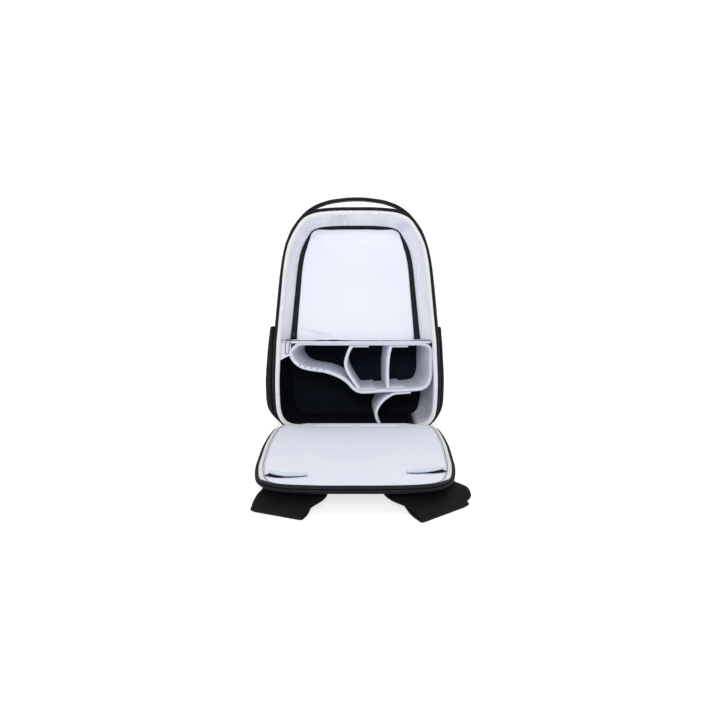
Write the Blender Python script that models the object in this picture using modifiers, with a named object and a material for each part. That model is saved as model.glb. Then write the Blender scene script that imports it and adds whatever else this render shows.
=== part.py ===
"""Camera backpack, open and standing on its base.

The body stands upright with its opening towards -Y. The full-height back panel is
unzipped and lies on the floor in front of it. Metres, +Z up, floor at z = 0.
"""
import math

import bmesh
import bpy
import numpy as np
from mathutils import Matrix

# Driving dimensions
BODY_WIDTH = 0.322            # across the rim binding at its widest
BODY_HEIGHT = 0.4335          # floor to the top of the rim binding
BODY_DEPTH = 0.170            # opening plane to the front of the bag
RIM_LIFT = 0.005              # floor to the lower edge of the rim binding
GAP = 0.0004                  # clearance between neighbouring pieces

SHELL_WALL = 0.0025
SHELL_EDGE = 0.0045           # shell edge outside the binding
SHELL_SETBACK = 0.0025        # shell edge behind the opening plane
SHELL_BULGE = 0.0075          # how far the sides swell behind the rim

BINDING_WIDTH = 0.0085
BINDING_THICK = 0.0044
ZIP_WIDTH = 0.0051
ZIP_THICK = 0.0026
PAD_EDGE = 0.0073             # side padding at the rim
PAD_MIDDLE = 0.0145           # side padding behind the rim
PAD_DEEP = 0.0180             # side padding two thirds in
PAD_BACK = 0.0140             # side padding at the back of the cells
CELL_DEPTH = 0.124            # opening plane to the back of the cells
BACK_PAD = 0.0035

SHELF_HEIGHT = 0.179          # floor to the top of the compartment floor
SHELF_THICK = 0.0015
SHELF_SETBACK = 0.012
SURROUND_WALL = 0.0025
U_SHIFT = -0.0025             # the upper compartment's zip sits left of the middle
SURROUND_INSET = 0.0220       # rim to the long zip of the upper compartment
SURROUND_SPLAY = 0.0020       # extra inset where the sides reach the shelf
U_DEPTH_LOW = 0.050           # opening plane to that zip at the shelf
U_DEPTH_TOP = 0.072           # and at the top
U_TAPE_WIDTH = 0.0100
U_TAPE_THICK = 0.0016
PANEL_WALL = 0.0025
PANEL_BULGE = 0.0060

DIVIDER_SETBACK = 0.014
LOOP_THICK = 0.0070
DIVIDER_THICK = 0.0064
TAB_THICK = 0.0032
TAB_LENGTH = 0.031

POCKET_WALL = 0.0015
POCKET_BULGE_LEFT = 0.0150
POCKET_BULGE_RIGHT = 0.0060

HANDLE_WIDTH = 0.030
HANDLE_THICK = 0.0052
HANDLE_RISE = 0.0205          # inner top of the handle above the rim
HANDLE_SETBACK = 0.035

FLAP_LENGTH = 0.429
FLAP_WIDTH = 0.312
FLAP_RISE = 0.020             # how much higher the near end lies
HINGE_HEIGHT = 0.014
HINGE_GAP = 0.0045
LINING_THICK = 0.0021
BOARD_THICK = 0.0040
BOARD_EDGE = 0.0030           # board edge outside the flap binding
SHOULDER_DROP = 0.0045        # flap top to the ledge that carries its zip
HINGE_STRIP_THICK = 0.0014
HINGE_STRIP_WIDTH = 0.236

GARTER_WIDTH = 0.016
GARTER_THICK = 0.0024
STRAP_THICK = 0.0098
STRAP_PINCH = 0.40            # share of that thickness left at the fold
STRAP_FOLD_GAP = 0.0008
WEBBING_WIDTH = 0.025
WEBBING_THICK = 0.0016

SLIDER_LENGTH = 0.011
SLIDER_WIDTH = 0.0075
SLIDER_THICK = 0.0036
PULL_DIAMETER = 0.0014

# Derived
FRONT_Y = -BODY_DEPTH / 2
HALF_WIDTH = BODY_WIDTH / 2
RIM_SPAN = BODY_HEIGHT - RIM_LIFT
FLAP_ANGLE = math.asin(FLAP_RISE / FLAP_LENGTH)

# Rim outline, right half, from the middle of the bottom edge up to the middle of the top:
# share of the half width across, share of the rim's span up
RIM_ROWS = (
    (0.000, 0.000), (0.360, 0.000), (0.714, 0.000), (0.845, 0.008), (0.925, 0.030),
    (0.972, 0.062), (0.993, 0.104), (1.000, 0.172), (0.998, 0.248), (0.984, 0.345),
    (0.974, 0.406), (0.957, 0.464), (0.935, 0.540), (0.908, 0.632), (0.873, 0.748),
    (0.829, 0.831), (0.779, 0.879), (0.723, 0.917), (0.668, 0.948), (0.598, 0.971),
    (0.484, 0.988), (0.342, 0.996), (0.174, 1.000), (0.000, 1.000))

# Shell rings from the rim to the front of the bag: share of the body depth, width factor,
# share of the body height at the top, share at the bottom, share of the side bulge
SHELL_ROWS = (
    (0.0147, 1.000, 1.0104, 0.0012, 0.00),
    (0.118, 1.000, 1.0090, -0.0005, 0.60),
    (0.265, 1.000, 1.0040, -0.0035, 1.00),
    (0.500, 1.000, 1.0000, -0.0035, 0.93),
    (0.694, 0.935, 0.9880, -0.0035, 0.60),
    (0.835, 0.860, 0.9570, 0.0035, 0.20),
    (0.929, 0.770, 0.8880, 0.0200, 0.00),
    (0.982, 0.650, 0.7840, 0.0700, 0.00),
    (1.000, 0.460, 0.6400, 0.1900, 0.00))

# How much of the side bulge shows at each height: share of the rim's span, share of bulge
BULGE_ROWS = ((0.00, 0.50), (0.10, 1.00), (0.64, 1.00), (0.83, 0.72), (0.86, 0.50),
              (0.90, 0.22), (0.95, 0.08), (1.00, 0.00))

# Padding thickness through the depth: share of the cell depth, thickness
PAD_ROWS = ((0.024, PAD_EDGE), (0.36, PAD_MIDDLE), (0.69, PAD_DEEP), (1.0, PAD_BACK))
PAD_FLOOR_SHARE = 0.40        # the padding under the cells is thinner than the sides
PAD_UPPER_SHARE = 0.42        # and so is the padding above the cells

# Width of the long zip of the upper compartment: share of the way from its lower end
# to the top, share of the tape width
U_TAPE_ROWS = ((0.00, 1.15), (0.30, 1.00), (0.58, 0.90), (0.72, 0.50), (0.79, 0.24),
               (0.85, 0.35), (0.92, 0.58), (1.00, 0.55))

# Centre line of the padded loop that walls the upper cells: shares of its reach across
# and of its top line's height
LOOP_ROWS = (
    (-0.744, 1.000), (-0.399, 1.000), (0.000, 1.000), (0.399, 1.000), (0.698, 1.000),
    (0.884, 0.997), (0.963, 0.968), (1.000, 0.910), (1.000, 0.789), (1.000, 0.645),
    (0.970, 0.541), (0.890, 0.481), (0.711, 0.461), (0.379, 0.452), (0.086, 0.438),
    (-0.027, 0.472), (-0.120, 0.553), (-0.233, 0.619), (-0.412, 0.677), (-0.611, 0.703),
    (-0.738, 0.732), (-0.827, 0.789), (-0.877, 0.858), (-0.870, 0.916), (-0.817, 0.968))

# Webs of the two upright dividers inside the loop, same shares; the first and last
# heights are those of the loop's inner faces
LEFT_WEB_ROWS = ((0.034, 0.0), (-0.040, 0.565), (-0.115, 0.670), (-0.147, 0.775),
                 (-0.113, 0.893), (-0.066, 1.0))
RIGHT_WEB_ROWS = ((0.425, 0.0), (0.419, 0.582), (0.419, 0.720), (0.432, 0.864),
                  (0.458, 1.0))
# Curved divider of the lower right cell: its tab under the loop, same shares across, then
# its web down to the padded floor
LENS_TAB_ACROSS = (0.731, 0.631, 0.540)
LENS_WEB_ROWS = ((0.439, 0.388), (0.352, 0.330), (0.292, 0.257), (0.266, 0.190),
                 (0.279, 0.115), (0.312, 0.0))

# Arch of the handle from where it leaves the shoulder of the shell: share of its reach
# across, share of its rise
HANDLE_ROWS = ((0.870, 0.366), (0.717, 0.639), (0.580, 0.785), (0.442, 0.889),
               (0.200, 0.978), (0.060, 1.000))

# Flap outline, right half, from the hinge to the near end: share of the half width
# across, share of the length along
FLAP_ROWS = (
    (0.000, 0.005), (0.350, 0.005), (0.692, 0.005), (0.859, 0.010), (0.942, 0.026),
    (0.978, 0.058), (0.994, 0.105), (1.000, 0.210), (0.994, 0.303), (0.981, 0.420),
    (0.958, 0.536), (0.936, 0.629), (0.917, 0.711), (0.891, 0.781), (0.856, 0.851),
    (0.814, 0.909), (0.750, 0.949), (0.654, 0.976), (0.513, 0.991), (0.321, 0.998),
    (0.154, 1.000), (0.000, 1.000))

# Corner garters of the flap: shares of the flap's half width and length
GARTER_LEFT_ROWS = ((-0.755, 0.846), (-0.670, 0.868), (-0.564, 0.880), (-0.420, 0.872))
GARTER_RIGHT_ROWS = ((0.462, 0.838), (0.580, 0.836), (0.690, 0.820), (0.795, 0.798))

# Shoulder straps, plan of the upper layer from under the flap to the fold:
# outer x, outer distance, inner x, inner distance, all as shares of the flap length
STRAP_LEFT_ROWS = (
    (-0.284, 0.790, -0.089, 0.790), (-0.293, 0.874, -0.084, 0.884),
    (-0.304, 0.935, -0.115, 0.955), (-0.311, 0.975, -0.131, 1.020),
    (-0.312, 0.999, -0.139, 1.083))
STRAP_RIGHT_ROWS = (
    (0.300, 0.780, 0.105, 0.790), (0.328, 0.822, 0.085, 0.882),
    (0.362, 0.864, 0.132, 0.962), (0.366, 0.915, 0.166, 1.024),
    (0.346, 0.947, 0.179, 1.105))
# and of the lower layer from the fold back towards the hinge
STRAP_LEFT_BACK = ((-0.308, 0.950, -0.135, 1.000), (-0.300, 0.830, -0.130, 0.850),
                   (-0.292, 0.660, -0.160, 0.660), (-0.272, 0.500, -0.196, 0.500))
STRAP_RIGHT_BACK = ((0.350, 0.900, 0.160, 1.000), (0.325, 0.800, 0.140, 0.840),
                    (0.300, 0.660, 0.160, 0.660), (0.272, 0.500, 0.196, 0.500))
WEBBING_REACH = 0.045         # share of the flap length where the webbing meets the hinge
WEBBING_SPREAD = 0.295        # its distance from the middle there, same share

# Cord loop of the upper slider, over the shelf and down in front of it: across, share of the
# way to the shelf's edge, height above where it rests, half the space between its legs
PULL_ROWS = (
    (0.0000, 0.00, 0.0060, 0.0011), (-0.0012, 0.14, 0.0028, 0.0016),
    (-0.0030, 0.42, 0.0006, 0.0027), (-0.0050, 0.74, 0.0004, 0.0036),
    (-0.0062, 0.93, 0.0006, 0.0039), (-0.0070, 1.04, -0.0004, 0.0040),
    (-0.0078, 1.07, -0.0050, 0.0040), (-0.0090, 1.07, -0.0140, 0.0037),
    (-0.0100, 1.07, -0.0235, 0.0031))

COLOURS = {
    "black_shell": ((0.011, 0.011, 0.012, 1), 0.72),
    "pale_lining": ((0.74, 0.75, 0.86, 1), 0.88),
    "warm_binding": ((0.60, 0.58, 0.60, 1), 0.80),
    "zip_black": ((0.016, 0.017, 0.026, 1), 0.55),
    "navy_lining": ((0.010, 0.012, 0.022, 1), 0.85),
    "divider_pale": ((0.60, 0.62, 0.74, 1), 0.88),
    "strap_charcoal": ((0.012, 0.012, 0.015, 1), 0.65),
    "slider_metal": ((0.020, 0.020, 0.026, 1), 0.35),
}


def clear_scene():
    for item in list(bpy.data.objects):
        bpy.data.objects.remove(item, do_unlink=True)


def parts_collection():
    found = bpy.data.collections.get("camera_backpack")
    if found is None:
        found = bpy.data.collections.new("camera_backpack")
        bpy.context.scene.collection.children.link(found)
    return found


def material(name):
    found = bpy.data.materials.get(name)
    if found is None:
        found = bpy.data.materials.new(name)
        found.use_nodes = True
        shader = found.node_tree.nodes["Principled BSDF"]
        colour, roughness = COLOURS[name]
        shader.inputs["Base Color"].default_value = colour
        shader.inputs["Roughness"].default_value = roughness
        shader.inputs["Metallic"].default_value = 0.6 if name == "slider_metal" else 0.0
    return found


def finish(name, bm, slot):
    bmesh.ops.recalc_face_normals(bm, faces=bm.faces)
    mesh = bpy.data.meshes.new(name)
    bm.to_mesh(mesh)
    bm.free()
    mesh.shade_smooth()
    mesh.set_sharp_from_angle(angle=math.radians(40))
    piece = bpy.data.objects.new(name, mesh)
    parts_collection().objects.link(piece)
    mesh.materials.append(material(slot))
    return piece


def grid_faces(bm, rows, wrap_across, wrap_along):
    across = len(rows[0])
    along = len(rows)
    for i in range(along if wrap_along else along - 1):
        below = rows[i]
        above = rows[(i + 1) % along]
        for j in range(across if wrap_across else across - 1):
            k = (j + 1) % across
            bm.faces.new((below[j], below[k], above[k], above[j]))


def tube(name, sections, slot, closed=False):
    """A closed section carried past a row of stations, capped unless it is a ring."""
    bm = bmesh.new()
    rows = [[bm.verts.new(point) for point in section] for section in sections]
    grid_faces(bm, rows, True, closed)
    if not closed:
        bm.faces.new(rows[0])
        bm.faces.new(rows[-1])
    return finish(name, bm, slot)


def slab(name, face, back, slot):
    """A sheet between two grids of points, closed along its four edges."""
    bm = bmesh.new()
    front = [[bm.verts.new(point) for point in row] for row in face]
    rear = [[bm.verts.new(point) for point in row] for row in back]
    grid_faces(bm, front, False, False)
    grid_faces(bm, rear, False, False)
    last = len(front) - 1
    for i in range(last):
        bm.faces.new((front[i][0], front[i + 1][0], rear[i + 1][0], rear[i][0]))
        bm.faces.new((front[i][-1], front[i + 1][-1], rear[i + 1][-1], rear[i][-1]))
    for j in range(len(front[0]) - 1):
        bm.faces.new((front[0][j], front[0][j + 1], rear[0][j + 1], rear[0][j]))
        bm.faces.new((front[last][j], front[last][j + 1], rear[last][j + 1], rear[last][j]))
    return finish(name, bm, slot)


def table(rows, at):
    """Straight-line reading of the second column of a table at a value of the first."""
    columns = np.array(rows, float)
    return float(np.interp(at, columns[:, 0], columns[:, 1]))


def smooth_line(points, steps, closed=False):
    """Catmull-Rom curve through the points, with so many steps between two of them."""
    pts = np.array(points, float)
    count = len(pts)
    line = []
    for i in range(count if closed else count - 1):
        if closed:
            before, start, end, after = (pts[(i + k) % count] for k in (-1, 0, 1, 2))
        else:
            before, start = pts[max(i - 1, 0)], pts[i]
            end, after = pts[i + 1], pts[min(i + 2, count - 1)]
        for s in range(steps):
            u = s / steps
            line.append(0.5 * (2 * start + (end - before) * u
                               + (2 * before - 5 * start + 4 * end - after) * u ** 2
                               + (3 * start - before - 3 * end + after) * u ** 3))
    if not closed:
        line.append(pts[-1])
    return np.array(line)


def mirror_loop(right):
    """Closed loop from its right half, whose first and last points lie on the middle."""
    left = right[-2:0:-1] * np.array([-1.0, 1.0])
    return np.vstack([right, left])


def outward(loop):
    """Unit normals of a closed plane loop that runs anticlockwise."""
    run = np.roll(loop, -1, axis=0) - np.roll(loop, 1, axis=0)
    normal = np.column_stack([run[:, 1], -run[:, 0]])
    return normal / np.linalg.norm(normal, axis=1)[:, None]


def rim_half():
    rows = np.array(RIM_ROWS)
    return np.column_stack([rows[:, 0] * HALF_WIDTH, RIM_LIFT + rows[:, 1] * RIM_SPAN])


def rim_loop(offset):
    loop = mirror_loop(rim_half())
    return loop + outward(loop) * offset


def shell_loop(depth, inset=0.0):
    """Outline of the shell at a depth behind the opening plane, moved in by an inset."""
    rows = np.array(SHELL_ROWS)
    share = depth / BODY_DEPTH
    widen, top, bottom, bulge = (float(np.interp(share, rows[:, 0], rows[:, k]))
                                 for k in (1, 2, 3, 4))
    loop = rim_loop(SHELL_EDGE)
    low, high = loop[:, 1].min(), loop[:, 1].max()
    up = (loop[:, 1] - low) / (high - low)
    swell = np.array([table(BULGE_ROWS, value) for value in up]) * bulge * SHELL_BULGE
    side = np.clip(loop[:, 0] / (0.5 * HALF_WIDTH), -1, 1)
    loop[:, 0] = loop[:, 0] * widen + side * swell
    loop[:, 1] = (bottom + up * (top - bottom)) * BODY_HEIGHT
    loop[:, 1] = np.maximum(loop[:, 1], 0.0)
    return loop - outward(loop) * np.reshape(inset, (-1, 1))


def at_depth(loop, depth):
    """Points of a plane loop set at a depth behind the opening plane."""
    return [(x, FRONT_Y + depth, z) for x, z in loop]


def shell_depths():
    return [row[0] * BODY_DEPTH for row in SHELL_ROWS]


def make_shell():
    """Black outer bag: rings from the rim to the front, open at the rim."""
    bm = bmesh.new()
    rows = [[bm.verts.new(p) for p in at_depth(shell_loop(d), d)] for d in shell_depths()]
    grid_faces(bm, rows, True, False)
    bm.faces.new(rows[-1])
    piece = finish("shell", bm, "black_shell")
    wall = piece.modifiers.new("wall", "SOLIDIFY")
    wall.thickness = SHELL_WALL
    wall.offset = -1.0
    wall.use_even_offset = True
    return piece


def pad_thickness(depth):
    """Padding thickness at each point of the loop: thinner along the floor."""
    through = float(np.interp(depth / CELL_DEPTH, [row[0] for row in PAD_ROWS],
                              [row[1] for row in PAD_ROWS]))
    up = (rim_loop(0)[:, 1] - RIM_LIFT) / RIM_SPAN
    share = np.clip(PAD_FLOOR_SHARE + (1 - PAD_FLOOR_SHARE) * up / 0.06, 0, 1)
    shelf = (SHELF_HEIGHT - RIM_LIFT) / RIM_SPAN
    share -= (1 - PAD_UPPER_SHARE) * np.clip((up - shelf) / 0.05, 0, 1)
    if depth < 0.1 * CELL_DEPTH:
        share[:] = 1.0
    return through * share


def lining_inset(depth):
    return SHELL_WALL * 1.12 + GAP + pad_thickness(depth)


def make_lining_walls():
    """Padded side walls inside the shell, one ring from the rim to the back of the cells."""
    depths = [PAD_ROWS[0][0] * CELL_DEPTH] + [d for d in shell_depths()[1:]
                                              if d < CELL_DEPTH - 0.004] + [CELL_DEPTH]
    outer = [at_depth(shell_loop(d, SHELL_WALL * 1.12 + GAP), d) for d in depths]
    inner = [at_depth(shell_loop(d, lining_inset(d)), d) for d in depths]
    sections = [[row[k] for row in outer] + [row[k] for row in reversed(inner)]
                for k in range(len(outer[0]))]
    return tube("lining_walls", sections, "pale_lining", closed=True)


def make_rim_binding():
    """Rolled fabric tape round the edge of the opening."""
    half = BINDING_THICK / 2
    w = BINDING_WIDTH
    profile = ((0.0, 0.1 * half), (-0.17 * w, -0.75 * half), (-0.5 * w, -half),
               (-0.84 * w, -0.75 * half), (-w, 0.1 * half), (-0.8 * w, 0.85 * half),
               (-0.2 * w, 0.85 * half))
    rings = [at_depth(rim_loop(reach), depth) for reach, depth in profile]
    sections = [[ring[k] for ring in rings] for k in range(len(rings[0]))]
    return tube("rim_binding", sections, "warm_binding", closed=True)


def side_rows(loop, lowest):
    """Indices of the loop's points above a height, from the right side over the top."""
    count = len(RIM_ROWS)
    start = next(k for k in range(count) if RIM_ROWS[k][1] >= lowest)
    return list(range(start, len(loop) - start + 1))


def make_main_zip_body():
    """Body half of the long zip, from one lower corner over the top to the other."""
    front = SHELL_SETBACK - GAP - ZIP_THICK
    profile = ((GAP, front + ZIP_THICK), (GAP, front), (GAP + ZIP_WIDTH * 0.7, front),
               (GAP + ZIP_WIDTH, front + 0.4 * ZIP_THICK), (GAP + ZIP_WIDTH, front + ZIP_THICK))
    rings = [at_depth(rim_loop(reach), depth) for reach, depth in profile]
    keep = side_rows(rings[0], 0.05)
    sections = [[ring[k] for ring in rings] for k in keep]
    return tube("main_zip_body", sections, "zip_black")


def arch(offset_low, offset_top, start_height):
    """Rim outline above a height, moved inwards, from the right side over the top."""
    half = rim_half()
    rows = [k for k in range(len(half)) if half[k][1] > start_height + 0.006]
    first = np.array([np.interp(start_height, half[:, 1], half[:, 0]), start_height])
    normals = outward(mirror_loop(half))
    line = [first - np.array([offset_low, 0.0])]
    for k in rows:
        share = (half[k][1] - start_height) / (BODY_HEIGHT - start_height)
        line.append(half[k] - normals[k] * (offset_low + (offset_top - offset_low) * share))
    return np.array(line)


def both_sides(half):
    """A line from the right side to the middle, carried on to the left side."""
    return np.vstack([half, half[-2::-1] * np.array([-1.0, 1.0])])


def arch_start():
    return SHELF_HEIGHT + GAP


def u_depth(height):
    share = (height - SHELF_HEIGHT) / (BODY_HEIGHT - SHELF_HEIGHT)
    return U_DEPTH_LOW + (U_DEPTH_TOP - U_DEPTH_LOW) * np.clip(share / 0.75, 0, 1)


def make_upper_surround():
    """Pale wall that narrows from the rim to the zip of the upper compartment."""
    start = arch_start()
    near = BINDING_WIDTH + GAP
    steps = 5
    face, back = [], []
    for i in range(steps):
        v = i / (steps - 1)
        reach_low = near + (SURROUND_INSET + SURROUND_SPLAY - near) * v ** 1.15
        reach_top = near + (SURROUND_INSET - near) * v ** 1.15
        line = both_sides(arch(reach_low, reach_top, start))
        rear = both_sides(arch(reach_low - SURROUND_WALL, reach_top - SURROUND_WALL, start))
        first = SHELL_SETBACK
        shift = U_SHIFT * v
        face.append([(x + shift, FRONT_Y + first + (u_depth(z) - first) * v, z)
                     for x, z in line])
        back.append([(p[0] + shift, FRONT_Y + first + (u_depth(q[1]) - first) * v, p[1])
                     for p, q in zip(rear, line)])
    return slab("upper_surround", face, back, "pale_lining")


def tape_edges():
    """Outer and inner edge of the zip tape, right half from the shelf to the middle."""
    outer = arch(SURROUND_INSET + SURROUND_SPLAY + GAP, SURROUND_INSET + GAP, arch_start())
    run = np.concatenate([[0], np.cumsum(np.linalg.norm(np.diff(outer, axis=0), axis=1))])
    widths = np.array([table(U_TAPE_ROWS, s / run[-1]) for s in run]) * U_TAPE_WIDTH
    tangent = np.gradient(outer, axis=0)
    inward = np.column_stack([-tangent[:, 1], tangent[:, 0]])
    inward /= np.linalg.norm(inward, axis=1)[:, None]
    inward[0] = (-1.0, 0.0)
    inward[-1] = (0.0, -1.0)
    return outer, outer + inward * widths[:, None], inward


def make_u_zip_tape():
    """Dark tape of the zip round the upper compartment's panel."""
    outer, inner, _ = tape_edges()
    lines = [both_sides(outer), both_sides(inner)]
    face = [[(x + U_SHIFT, FRONT_Y + u_depth(z), z) for x, z in line] for line in lines]
    back = [[(x, y + U_TAPE_THICK, z) for x, y, z in row] for row in face]
    return slab("u_zip_tape", face, back, "zip_black")


def make_upper_panel():
    """Pale panel of the upper compartment, slightly domed towards the opening."""
    outer, inner, inward = tape_edges()
    edge = inner + inward * 2 * GAP
    edge[0, 1] = arch_start()
    rows = edge[:-1]
    columns = 9
    face, back = [], []
    low, high = rows[0][1], rows[-1][1]
    for x_edge, z in rows:
        share = (z - low) / (high - low)
        lift = PANEL_BULGE * math.sqrt(max(1 - share, 0.0)) * (0.55 + 0.45 * (1 - share))
        line = []
        for j in range(columns):
            across = 1 - 2 * j / (columns - 1)
            y = FRONT_Y + u_depth(z) - lift * (1 - across ** 2)
            line.append((x_edge * across + U_SHIFT, y, z))
        face.append(line)
        back.append([(x, y + PANEL_WALL, z) for x, y, z in line])
    return slab("upper_panel", face, back, "pale_lining")


def inner_half_width(height, depth):
    """Half width inside the padding at a height and a depth."""
    loop = shell_loop(depth, lining_inset(depth))
    right = loop[1:len(RIM_ROWS) - 1]
    return float(np.interp(height, right[:, 1], right[:, 0]))


def make_compartment_floor():
    """Thin pale sheet under the upper compartment."""
    depths = (SHELF_SETBACK, 0.265 * BODY_DEPTH, 0.5 * BODY_DEPTH, CELL_DEPTH)
    face, back = [], []
    for depth in depths:
        half = inner_half_width(SHELF_HEIGHT, depth) - 2 * GAP
        row = [(half * a, FRONT_Y + depth, SHELF_HEIGHT) for a in (-1, -0.33, 0.33, 1)]
        face.append(row)
        back.append([(x, y, z - SHELF_THICK) for x, y, z in row])
    return slab("compartment_floor", face, back, "pale_lining")


def make_cell_back():
    """Dark padded back wall of the camera cells, up to the compartment floor."""
    near = CELL_DEPTH + GAP
    depths = (near, near + BACK_PAD)
    top = SHELF_HEIGHT
    rights = [shell_loop(depth, SHELL_WALL * 1.25 + GAP)[:len(RIM_ROWS)] for depth in depths]
    below = min(int(np.sum(right[:, 1] < top - BACK_PAD)) for right in rights)
    solid = []
    for depth, right in zip(depths, rights):
        corner = np.array([[np.interp(top, right[4:, 1], right[4:, 0]), top]])
        half = np.vstack([right[:below], corner])
        full = np.vstack([half, half[:0:-1] * np.array([-1.0, 1.0])])
        solid.append(at_depth(full, depth))
    return tube("cell_back", solid, "navy_lining")


def loop_reach(depth):
    """Reach of the loop's centre line across at a depth."""
    narrow = min(inner_half_width(share * SHELF_HEIGHT, depth) for share in (0.62, 0.75, 0.9))
    return narrow - GAP - LOOP_THICK / 2


def cell_taper():
    """How much narrower the cells are at their back than at their front."""
    return loop_reach(CELL_DEPTH) / loop_reach(DIVIDER_SETBACK)


def loop_scale():
    return np.array([loop_reach(DIVIDER_SETBACK),
                     SHELF_HEIGHT - SHELF_THICK - GAP - LOOP_THICK / 2])


def loop_lines():
    """Outer and inner face of the loop, seen end-on."""
    line = smooth_line(np.array(LOOP_ROWS) * loop_scale(), 2, closed=True)
    side = line_normals(line, closed=True) * LOOP_THICK / 2
    return line + side, line - side


def face_height(face, x, lower):
    """Height of the loop's lower or upper face at a place across."""
    split = 0.75 * loop_scale()[1]
    part = face[face[:, 1] < split] if lower else face[face[:, 1] > split]
    part = part[np.argsort(part[:, 0])]
    return float(np.interp(x, part[:, 0], part[:, 1]))


def floor_height():
    """Top of the padding under the cells where the dividers start."""
    levels = []
    for depth in (PAD_ROWS[0][0] * CELL_DEPTH, shell_depths()[1]):
        levels.append(shell_loop(depth, lining_inset(depth))[0][1])
    return max(levels)


def ribbon_solid(name, left, right, near, far, slot, closed=False, taper=1.0):
    """A padded strip seen end-on between two lines, carried back and drawn in by a taper."""
    sections = [[(a[0], FRONT_Y + near, a[1]), (b[0], FRONT_Y + near, b[1]),
                 (b[0] * taper, FRONT_Y + far, b[1]), (a[0] * taper, FRONT_Y + far, a[1])]
                for a, b in zip(left, right)]
    return tube(name, sections, slot, closed=closed)


def line_normals(line, closed=False):
    if closed:
        run = np.roll(line, -1, axis=0) - np.roll(line, 1, axis=0)
    else:
        run = np.gradient(line, axis=0)
    normal = np.column_stack([-run[:, 1], run[:, 0]])
    return normal / np.linalg.norm(normal, axis=1)[:, None]


def make_loop_divider():
    """Padded divider bent into a closed loop round the three upper cells."""
    outer, inner = loop_lines()
    return ribbon_solid("loop_divider", outer, inner, DIVIDER_SETBACK, CELL_DEPTH - GAP,
                        "divider_pale", closed=True, taper=cell_taper())


def make_web(name, rows):
    """Upright divider with a thin tab turned to the right at its foot and at its head."""
    inner = loop_lines()[1]
    scale = loop_scale()
    web = np.array(rows) * scale
    web[0, 1] = face_height(inner, web[0, 0], True) + GAP
    web[-1, 1] = face_height(inner, web[-1, 0], False) - GAP
    web = smooth_line(web, 2)
    side = line_normals(web) * DIVIDER_THICK / 2
    left = [tuple(p) for p in (web + side)[1:-1]]
    right = [tuple(p) for p in (web - side)[1:-1]]
    half = DIVIDER_THICK / 2
    head = [web[-1][0] - half, web[-1][0] + half, web[-1][0] + half + TAB_LENGTH]
    foot = [web[0][0] - half, web[0][0] + half, web[0][0] + half + TAB_LENGTH]
    outline = [(foot[0], face_height(inner, foot[0], True) + GAP)] + left
    outline += [(x, face_height(inner, x, False) - GAP) for x in head]
    outline += [(x, face_height(inner, x, False) - GAP - TAB_THICK) for x in head[:0:-1]]
    outline += right[::-1]
    outline += [(x, face_height(inner, x, True) + GAP + TAB_THICK) for x in foot[1:]]
    run = np.linspace(foot[2], foot[0], 6)[:-1]
    outline += [(x, face_height(inner, x, True) + GAP) for x in run]
    drawn_in = [(x * cell_taper(), z) for x, z in outline]
    solid = [at_depth(outline, DIVIDER_SETBACK), at_depth(drawn_in, CELL_DEPTH - GAP)]
    return tube(name, solid, "divider_pale")


def make_lens_divider():
    """Curved divider of the lower right cell with its tab under the loop."""
    outer = loop_lines()[0]
    scale = loop_scale()
    web = np.array(LENS_WEB_ROWS) * scale
    web[-1, 1] = floor_height() + GAP
    tab = [(a * scale[0], face_height(outer, a * scale[0], True) - GAP - TAB_THICK / 2)
           for a in LENS_TAB_ACROSS]
    line = smooth_line(np.vstack([tab, web]), 2)
    count = 2 * len(LENS_TAB_ACROSS)
    thick = np.full(len(line), DIVIDER_THICK)
    thick[:count] = np.linspace(TAB_THICK, DIVIDER_THICK * 0.8, count)
    side = line_normals(line) * thick[:, None] / 2
    upper = line - side
    lower = line + side
    for k in range(count):
        seat = face_height(outer, upper[k][0], True) - GAP
        upper[k][1] = min(upper[k][1], seat)
    upper[-1][1] = lower[-1][1] = floor_height() + GAP
    return ribbon_solid("divider_lower_right", upper, lower, DIVIDER_SETBACK,
                        CELL_DEPTH - GAP, "divider_pale", taper=cell_taper())


def make_side_pocket(name, sign, bulge):
    """Stretch pocket on the side of the shell, open at its top hem."""
    low, high = 4, 11
    depths = [row[0] * BODY_DEPTH for row in SHELL_ROWS[1:6]]
    rows = list(range(low, high + 1))
    face, back = [], []
    for j, depth in enumerate(depths):
        loop = shell_loop(depth)
        normals = outward(loop)
        through = j / (len(depths) - 1)
        outer_row, inner_row = [], []
        for i, k in enumerate(rows):
            up = i / (len(rows) - 1)
            swell = math.sin(math.pi * through) ** 0.7 * (1 - (1 - min(up / 0.35, 1)) ** 2)
            swell *= 1.0 - 0.45 * max(up - 0.5, 0) / 0.5
            index = k if sign > 0 else (len(loop) - k) % len(loop)
            base = loop[index] + normals[index] * (GAP + bulge * swell)
            skin = base + normals[index] * POCKET_WALL
            inner_row.append((base[0], FRONT_Y + depth, base[1]))
            outer_row.append((skin[0], FRONT_Y + depth, skin[1]))
        face.append(outer_row)
        back.append(inner_row)
    return slab(name, face, back, "black_shell")


def make_grab_handle():
    """Arched carrying band sewn to both shoulders of the shell."""
    loop = shell_loop(SHELL_ROWS[2][0] * BODY_DEPTH)
    seat = loop + outward(loop) * (2.5 * GAP + HANDLE_THICK / 2)
    root = [seat[15] * 0.6 + seat[16] * 0.4, seat[16], seat[17], seat[18]]
    reach, low = root[-1]
    rise = BODY_HEIGHT + HANDLE_RISE + HANDLE_THICK / 2 - low
    rest = [(reach * across, low + rise * up) for across, up in HANDLE_ROWS]
    half = np.array(root + rest)
    line = np.vstack([half, half[::-1] * np.array([-1.0, 1.0])])
    side = line_normals(line) * HANDLE_THICK / 2
    return ribbon_solid("grab_handle", line + side, line - side, HANDLE_SETBACK,
                        HANDLE_SETBACK + HANDLE_WIDTH, "strap_charcoal")


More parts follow.
